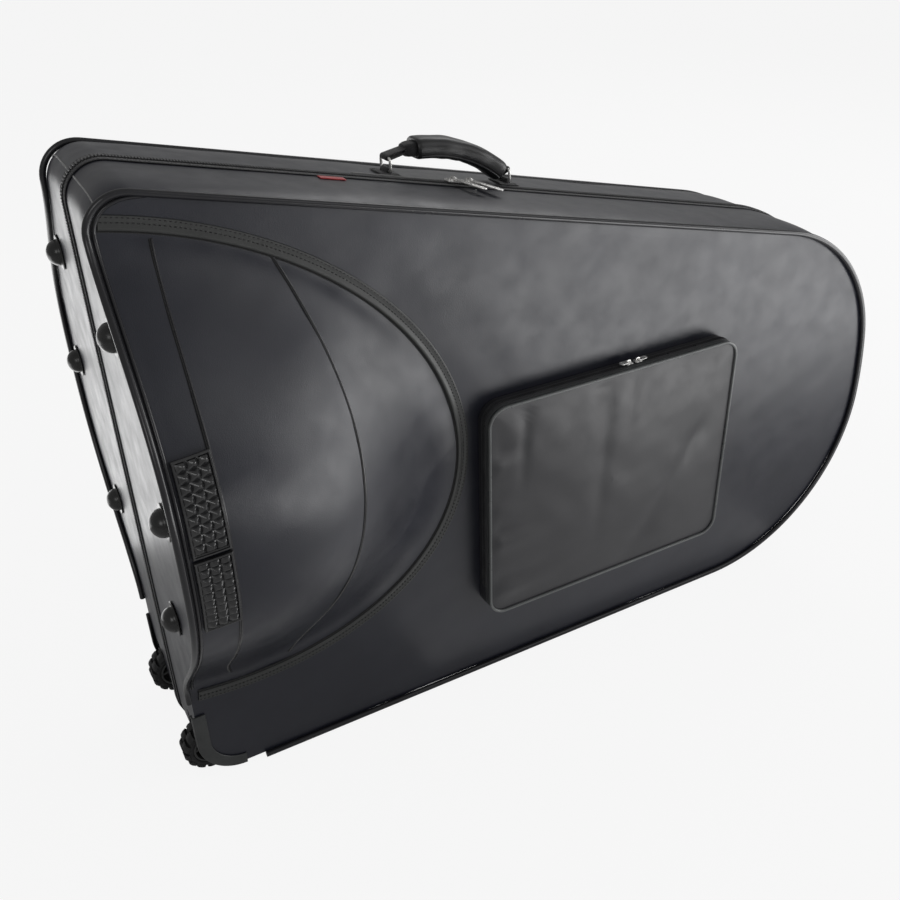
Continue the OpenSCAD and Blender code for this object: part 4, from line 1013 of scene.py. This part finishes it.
for name, body, y0, y1, replaced in (("pocket_teeth_back", "front_half", SPLIT - 5, SPLIT - 0.3, "pocket_zip_back"),
                                     ("pocket_teeth_front", "pocket_flap", SPLIT + 0.3, SPLIT + 5, "pocket_zip_front")):
    full = np.roll(ring_at(-0.4, 0), -9, 0)
    full = full[(full[:, 2] > PZ + 40)]
    start = int(np.argmax(np.linalg.norm(np.diff(full, axis=0), axis=1)))
    if np.linalg.norm(full[start + 1] - full[start]) > 60:
        full = np.vstack([full[start + 1:], full[:start + 1]])
    path = resample(full, 2.2)
    n = -outward(path[:, :]) if np.mean((path[:, (0, 2)] - P_MID) * outward(path)[:, (0, 2)]) < 0 else outward(path)
    mid_y = (y0 + y1) / 2
    tape = sweep(path + [0, mid_y, 0], n, soft_rect(abs(y1 - y0), 0.8, 0.35, 2))
    t = unit(np.gradient(path, axis=0))
    near = y1 if body == "front_half" else y0
    far = near - 2.4 if body == "front_half" else near + 2.4
    teeth = []
    tooth = soft_rect(0.95, 1.0, 0.25, 1)
    for q, m, d in zip(path, n, t):
        ring = q + m * 0.55 + np.outer(tooth[:, 0], d) + np.outer(tooth[:, 1], m)
        k = len(ring)
        teeth.append((np.vstack([ring + [0, min(near, far), 0], ring + [0, max(near, far), 0]]),
                      grid(2, k) + [list(range(k))[::-1], list(range(k, 2 * k))]))
    make(name, join([tape] + teeth), M["teeth"], body, [replaced], s=s, tidy=False)

for side, x, sg in (("pocket_left", PX + 205, -1), ("pocket_right", PX + 219, 1)):
    org = np.array([x, SPLIT, PZ + PH + 2 * SEAT + 1])
    X, Y, Z = np.eye(3)
    base = placed(plate_mesh([body_outline(10, 8, 0.12)], 1.5, 0.35), org + [0, 0, 0.75], X, Y, Z)
    arch = np.array([(-2.6, 0.2), (-2.3, 2.0), (-1.4, 3.3), (1.4, 3.3), (2.3, 2.0), (2.6, 0.2)])
    path = org + [0, 0, 1.0] + np.outer(arch[:, 0], X) + np.outer(arch[:, 1], Z)
    bridge = sweep(resample(path, 0.6), [0, 1, 0], soft_rect(2.2, 0.9, 0.35, 2))
    make(side + "_slider_body", join([base, bridge]), M["metal"], side + "_slider", [side + "_slider"], s=s)
    hinge = org + [0, 0, 2.6]
    pts = [(-3.5, -0.6), (-3.5, 9.5)] + [(3.5 * math.cos(q), 10 + 3.4 * math.sin(q)) for q in np.linspace(math.pi, 0, 13)] + [(3.5, 9.5), (3.5, -0.6)]
    hole = soft_rect(4.4, 4.6, 1.4, 3) + [0, 3.0]
    eye = [(1.5 * math.cos(q), 10.2 + 1.5 * math.sin(q)) for q in np.linspace(0, 2 * math.pi, 16, endpoint=False)]
    pull = placed(plate_mesh([pts, hole, eye], 1.1, 0.25), hinge, Y, X * sg, Z)
    make(side + "_slider_pull", pull, M["metal"], side + "_pull", [side + "_pull"], s=s)

# ---- Inside: foam blocks, neck rest and its strap
def block(poly, a, b, axis, soft=3.0):
    """A foam block: a polygon drawn across an axis (0 is X, 1 is Y), with soft edges."""
    poly = np.asarray(poly, float)
    n = len(poly)
    if axis == 0:
        ends = [np.column_stack([np.full(n, q), poly]) for q in (a, b)]
    else:
        ends = [np.column_stack([poly[:, 0], np.full(n, q), poly[:, 1]]) for q in (a, b)]
    me = bpy.data.meshes.new("block")
    me.from_pydata(np.vstack(ends).tolist(), [], grid(2, n) + [list(range(n))[::-1], list(range(n, 2 * n))])
    bm = bmesh.new()
    bm.from_mesh(me)
    bmesh.ops.recalc_face_normals(bm, faces=bm.faces)
    sharp = [e for e in bm.edges if len(e.link_faces) == 2 and e.calc_face_angle() > math.radians(35)]
    bmesh.ops.bevel(bm, geom=sharp, offset=soft, segments=3, profile=0.6, affect="EDGES", clamp_overlap=True)
    v = np.array([q.co[:] for q in bm.verts])
    f = [[q.index for q in p.verts] for p in bm.faces]
    bm.verts.index_update()
    bm.free()
    return v, f


WALL = SHELL_T + LINING_T + 3 * SEAT
y_in = DEPTH - WALL
a1 = math.asin(0.75)
zt = top_z(WALL + 70) - DRAFT - WALL
upper = [(215 * math.cos(q), BULGE_Z + 215 * math.sin(q)) for q in np.linspace(a1, math.pi / 2 - 0.01, 24)]
upper = [p for p in upper if p[0] < y_in]
yc = math.sqrt(215 ** 2 - (0.75 * 215) ** 2)
first = (y_in, BULGE_Z + math.sqrt(215 ** 2 - y_in ** 2)) if yc > y_in else (yc, BULGE_Z + 0.75 * 215)
up_poly = [first] + upper + [(2, BULGE_Z + math.sqrt(215 ** 2 - 4)), (2, zt), (y_in, zt)]
low_poly = [(y, 2 * BULGE_Z - z) for y, z in [first] + upper + [(2, BULGE_Z + math.sqrt(215 ** 2 - 4))]] + [(2, 81.0), (y_in, 81.0)]
for half, s in HALVES:
    blocks = join([block(up_poly, WALL, WALL + 70, 0, 2.0), block(low_poly, WALL, WALL + 70, 0, 2.0)])
    ob = make(half + "_foam_blocks", blocks, M["foam"], half + "_half", [half + "_bell_blocks"], s=s)
o = outline(-DRAFT - WALL, WALL)
hold = np.array([CASE_LEN - WALL - 185 - 50, LOW_R + 25])
inner = hold[0] + 185 * 0.25
keep = o[(o[:, 0] > inner) & (np.abs(o[:, 1] - hold[1]) < 185)]
i0 = int(np.argmin(keep[:, 1]))
a0 = math.asin(min(1, (keep[:, 1].max() - hold[1]) / 185)) if keep[:, 1].max() - hold[1] < 185 else math.pi / 2
cs = math.acos(0.25)
arc_pts = [(hold[0] + 185 * math.cos(q), hold[1] + 185 * math.sin(q)) for q in np.linspace(cs, -cs, 40)]
lo_z, hi_z = hold[1] - 184.5, hold[1] + 184.5
poly = [tuple(p) for p in keep] + [(inner, min(hi_z, keep[-1, 1] + 1))] + arc_pts + [(inner, max(lo_z, keep[0, 1]))]
bow = make("bow_foam", block(poly, DEPTH - WALL - 70, DEPTH - WALL, 1, 2.0), M["foam"], "back_half", ["bow_block"])
nz = BULGE_Z - BULGE_K * 430 - 30
a = np.linspace(-math.pi / 2 + 0.02, math.pi / 2 - 0.02, 30)
poly = [(4, nz - 100), (y_in, nz - 100), (y_in, nz + 100), (4, nz + 100)] + [(4 + 60 * math.cos(q), nz + 60 * math.sin(q)) for q in a[::-1]]
rest = make("neck_foam", block(poly, 430, 490, 0, 2.5), M["foam"], "back_half", ["neck_rest"])
zz = np.linspace(nz - 96, nz + 96, 40)
path = np.column_stack([np.full(40, 460.0), 2.7 + 0.25 * np.sin(zz / 17), zz])
make("neck_webbing", sweep(path, [0, 1, 0], soft_rect(38, 1.7, 0.8, 2)), M["webbing"], "back_half", ["neck_strap"])

# ---- Kept solids
for name, mat in (("back_wheel_housing", "black"), ("front_wheel_housing", "black"), ("back_axle", "metal"), ("front_axle", "metal")):
    me = nodes[name].data
    me.materials.clear()
    me.materials.append(M[mat])

# ---- Stage, lights and camera
F, CX, CY = 986.1, 445.4, 445.4
YAW, PITCH, ROLL = 0.4826, 0.5373, 0.0328
cy, sy, cp, sp, cr, sr = (math.cos(YAW), math.sin(YAW), math.cos(PITCH), math.sin(PITCH), math.cos(ROLL), math.sin(ROLL))
yaw = np.array([[cy, -sy, 0], [sy, cy, 0], [0, 0, 1]])
base = np.array([[1, 0, 0], [0, 0, 1], [0, 1, 0]])
pitch = np.array([[1, 0, 0], [0, cp, sp], [0, -sp, cp]])
roll = np.array([[cr, -sr, 0], [sr, cr, 0], [0, 0, 1]])
R = roll @ pitch @ base @ yaw
cam = bpy.data.objects.new("camera", bpy.data.cameras.new("camera"))
bpy.context.scene.collection.objects.link(cam)
bpy.context.scene.camera = cam
eye = -R.T @ np.array([-0.2847, -0.1407, 1.0351])
rot = Matrix([list(R[0]), list(R[1]), list(-R[2])]).transposed()
cam.matrix_world = Matrix.Translation(Vector(eye) + Vector((0.010 - X_MID / 1000, -0.105, 0.302))) @ rot.to_4x4()
cam.data.sensor_width = 36
cam.data.lens = F * 36 / 900
cam.data.shift_x = (450 - CX) / 900
cam.data.shift_y = (CY - 450) / 900
cam.data.clip_start = 0.05

def seen_share(t, camera, mirror):
    """How far rays see plain white: those straight from the camera, and those by gloss or through glass."""
    lp = node(t, "ShaderNodeLightPath")
    either = node(t, "ShaderNodeMath", operation="MAXIMUM")
    t.links.new(lp.outputs["Is Glossy Ray"], either.inputs[0])
    t.links.new(lp.outputs["Is Transmission Ray"], either.inputs[1])
    part = node(t, "ShaderNodeMath", operation="MULTIPLY")
    part.inputs[1].default_value = mirror
    t.links.new(either.outputs[0], part.inputs[0])
    both = node(t, "ShaderNodeMath", operation="MULTIPLY_ADD")
    both.inputs[1].default_value = camera
    t.links.new(lp.outputs["Is Camera Ray"], both.inputs[0])
    t.links.new(part.outputs[0], both.inputs[2])
    return both.outputs[0]


def blend_white(t, surface, white, share):
    mix = node(t, "ShaderNodeMixShader")
    t.links.new(share, mix.inputs[0])
    t.links.new(surface, mix.inputs[1])
    t.links.new(white, mix.inputs[2])
    return mix.outputs[0]


floor_m, t, b = material("floor", (0.86, 0.86, 0.86), 0.9, 0, 0.1)
t.links.new(ramp(t, noise(t, 1, 3, 2), [(0.0, 0.84), (1.0, 0.88)]), b.inputs["Base Color"])
glow = node(t, "ShaderNodeEmission")
t.links.new(blend_white(t, b.outputs[0], glow.outputs[0], seen_share(t, 0.89, 0.14)), t.nodes["Material Output"].inputs["Surface"])
me = bpy.data.meshes.new("floor")
me.from_pydata([(-60, -60, 0), (60, -60, 0), (60, 60, 0), (-60, 60, 0)], [], [[0, 1, 2, 3]])
floor = bpy.data.objects.new("floor", me)
me.materials.append(floor_m)
bpy.context.scene.collection.objects.link(floor)


def lamp(name, at, aim, size, power):
    d = bpy.data.lights.new(name, "AREA")
    d.shape, d.size, d.size_y, d.energy = "RECTANGLE", size[0], size[1], power
    o = bpy.data.objects.new(name, d)
    o.location = at
    o.rotation_euler = (Vector(aim) - Vector(at)).to_track_quat("-Z", "Y").to_euler()
    o.visible_camera = False
    bpy.context.scene.collection.objects.link(o)


LAMPS = (("back", (2.2, 2.0, 2.6), (0, 0.3, 0.2), (2.2, 1.4), 19),
         ("right", (2.7, -0.8, 0.7), (0.1, -0.1, 0.4), (2.2, 1.4), 32),
         ("high", (1.5, -1.6, 1.9), (-0.3, -0.2, 0.4), (1.6, 1.6), 6),
         ("left", (-1.6, -1.9, 1.7), (-0.3, 0, 0.3), (0.9, 0.9), 6),
         ("front_pool", (1.33, -1.42, 0.01), (1.33, -1.4201, 2.0), (1.95, 1.75), 44),
         ("near_pool", (0.12, -0.3, 0.01), (0.12, -0.3001, 2.0), (0.62, 0.34), 0.25),
         ("back_pool", (-0.9, 2.55, 0.01), (-0.9, 2.5499, 2.0), (2.4, 4.3), 60))
for row in LAMPS:
    lamp(*row)

world = bpy.data.worlds.new("world")
bpy.context.scene.world = world
world.use_nodes = True
wt = world.node_tree
back = wt.nodes["Background"]
back.inputs["Color"].default_value = (1, 1, 1, 1)
back.inputs["Strength"].default_value = 0.22
white = node(wt, "ShaderNodeBackground")
white.inputs["Color"].default_value = (1, 1, 1, 1)
white.inputs["Strength"].default_value = 1.0
seen = blend_white(wt, back.outputs[0], white.outputs[0], seen_share(wt, 1.0, 0.15))
wt.links.new(seen, wt.nodes["World Output"].inputs["Surface"])
bpy.context.scene.view_settings.view_transform = "Standard"
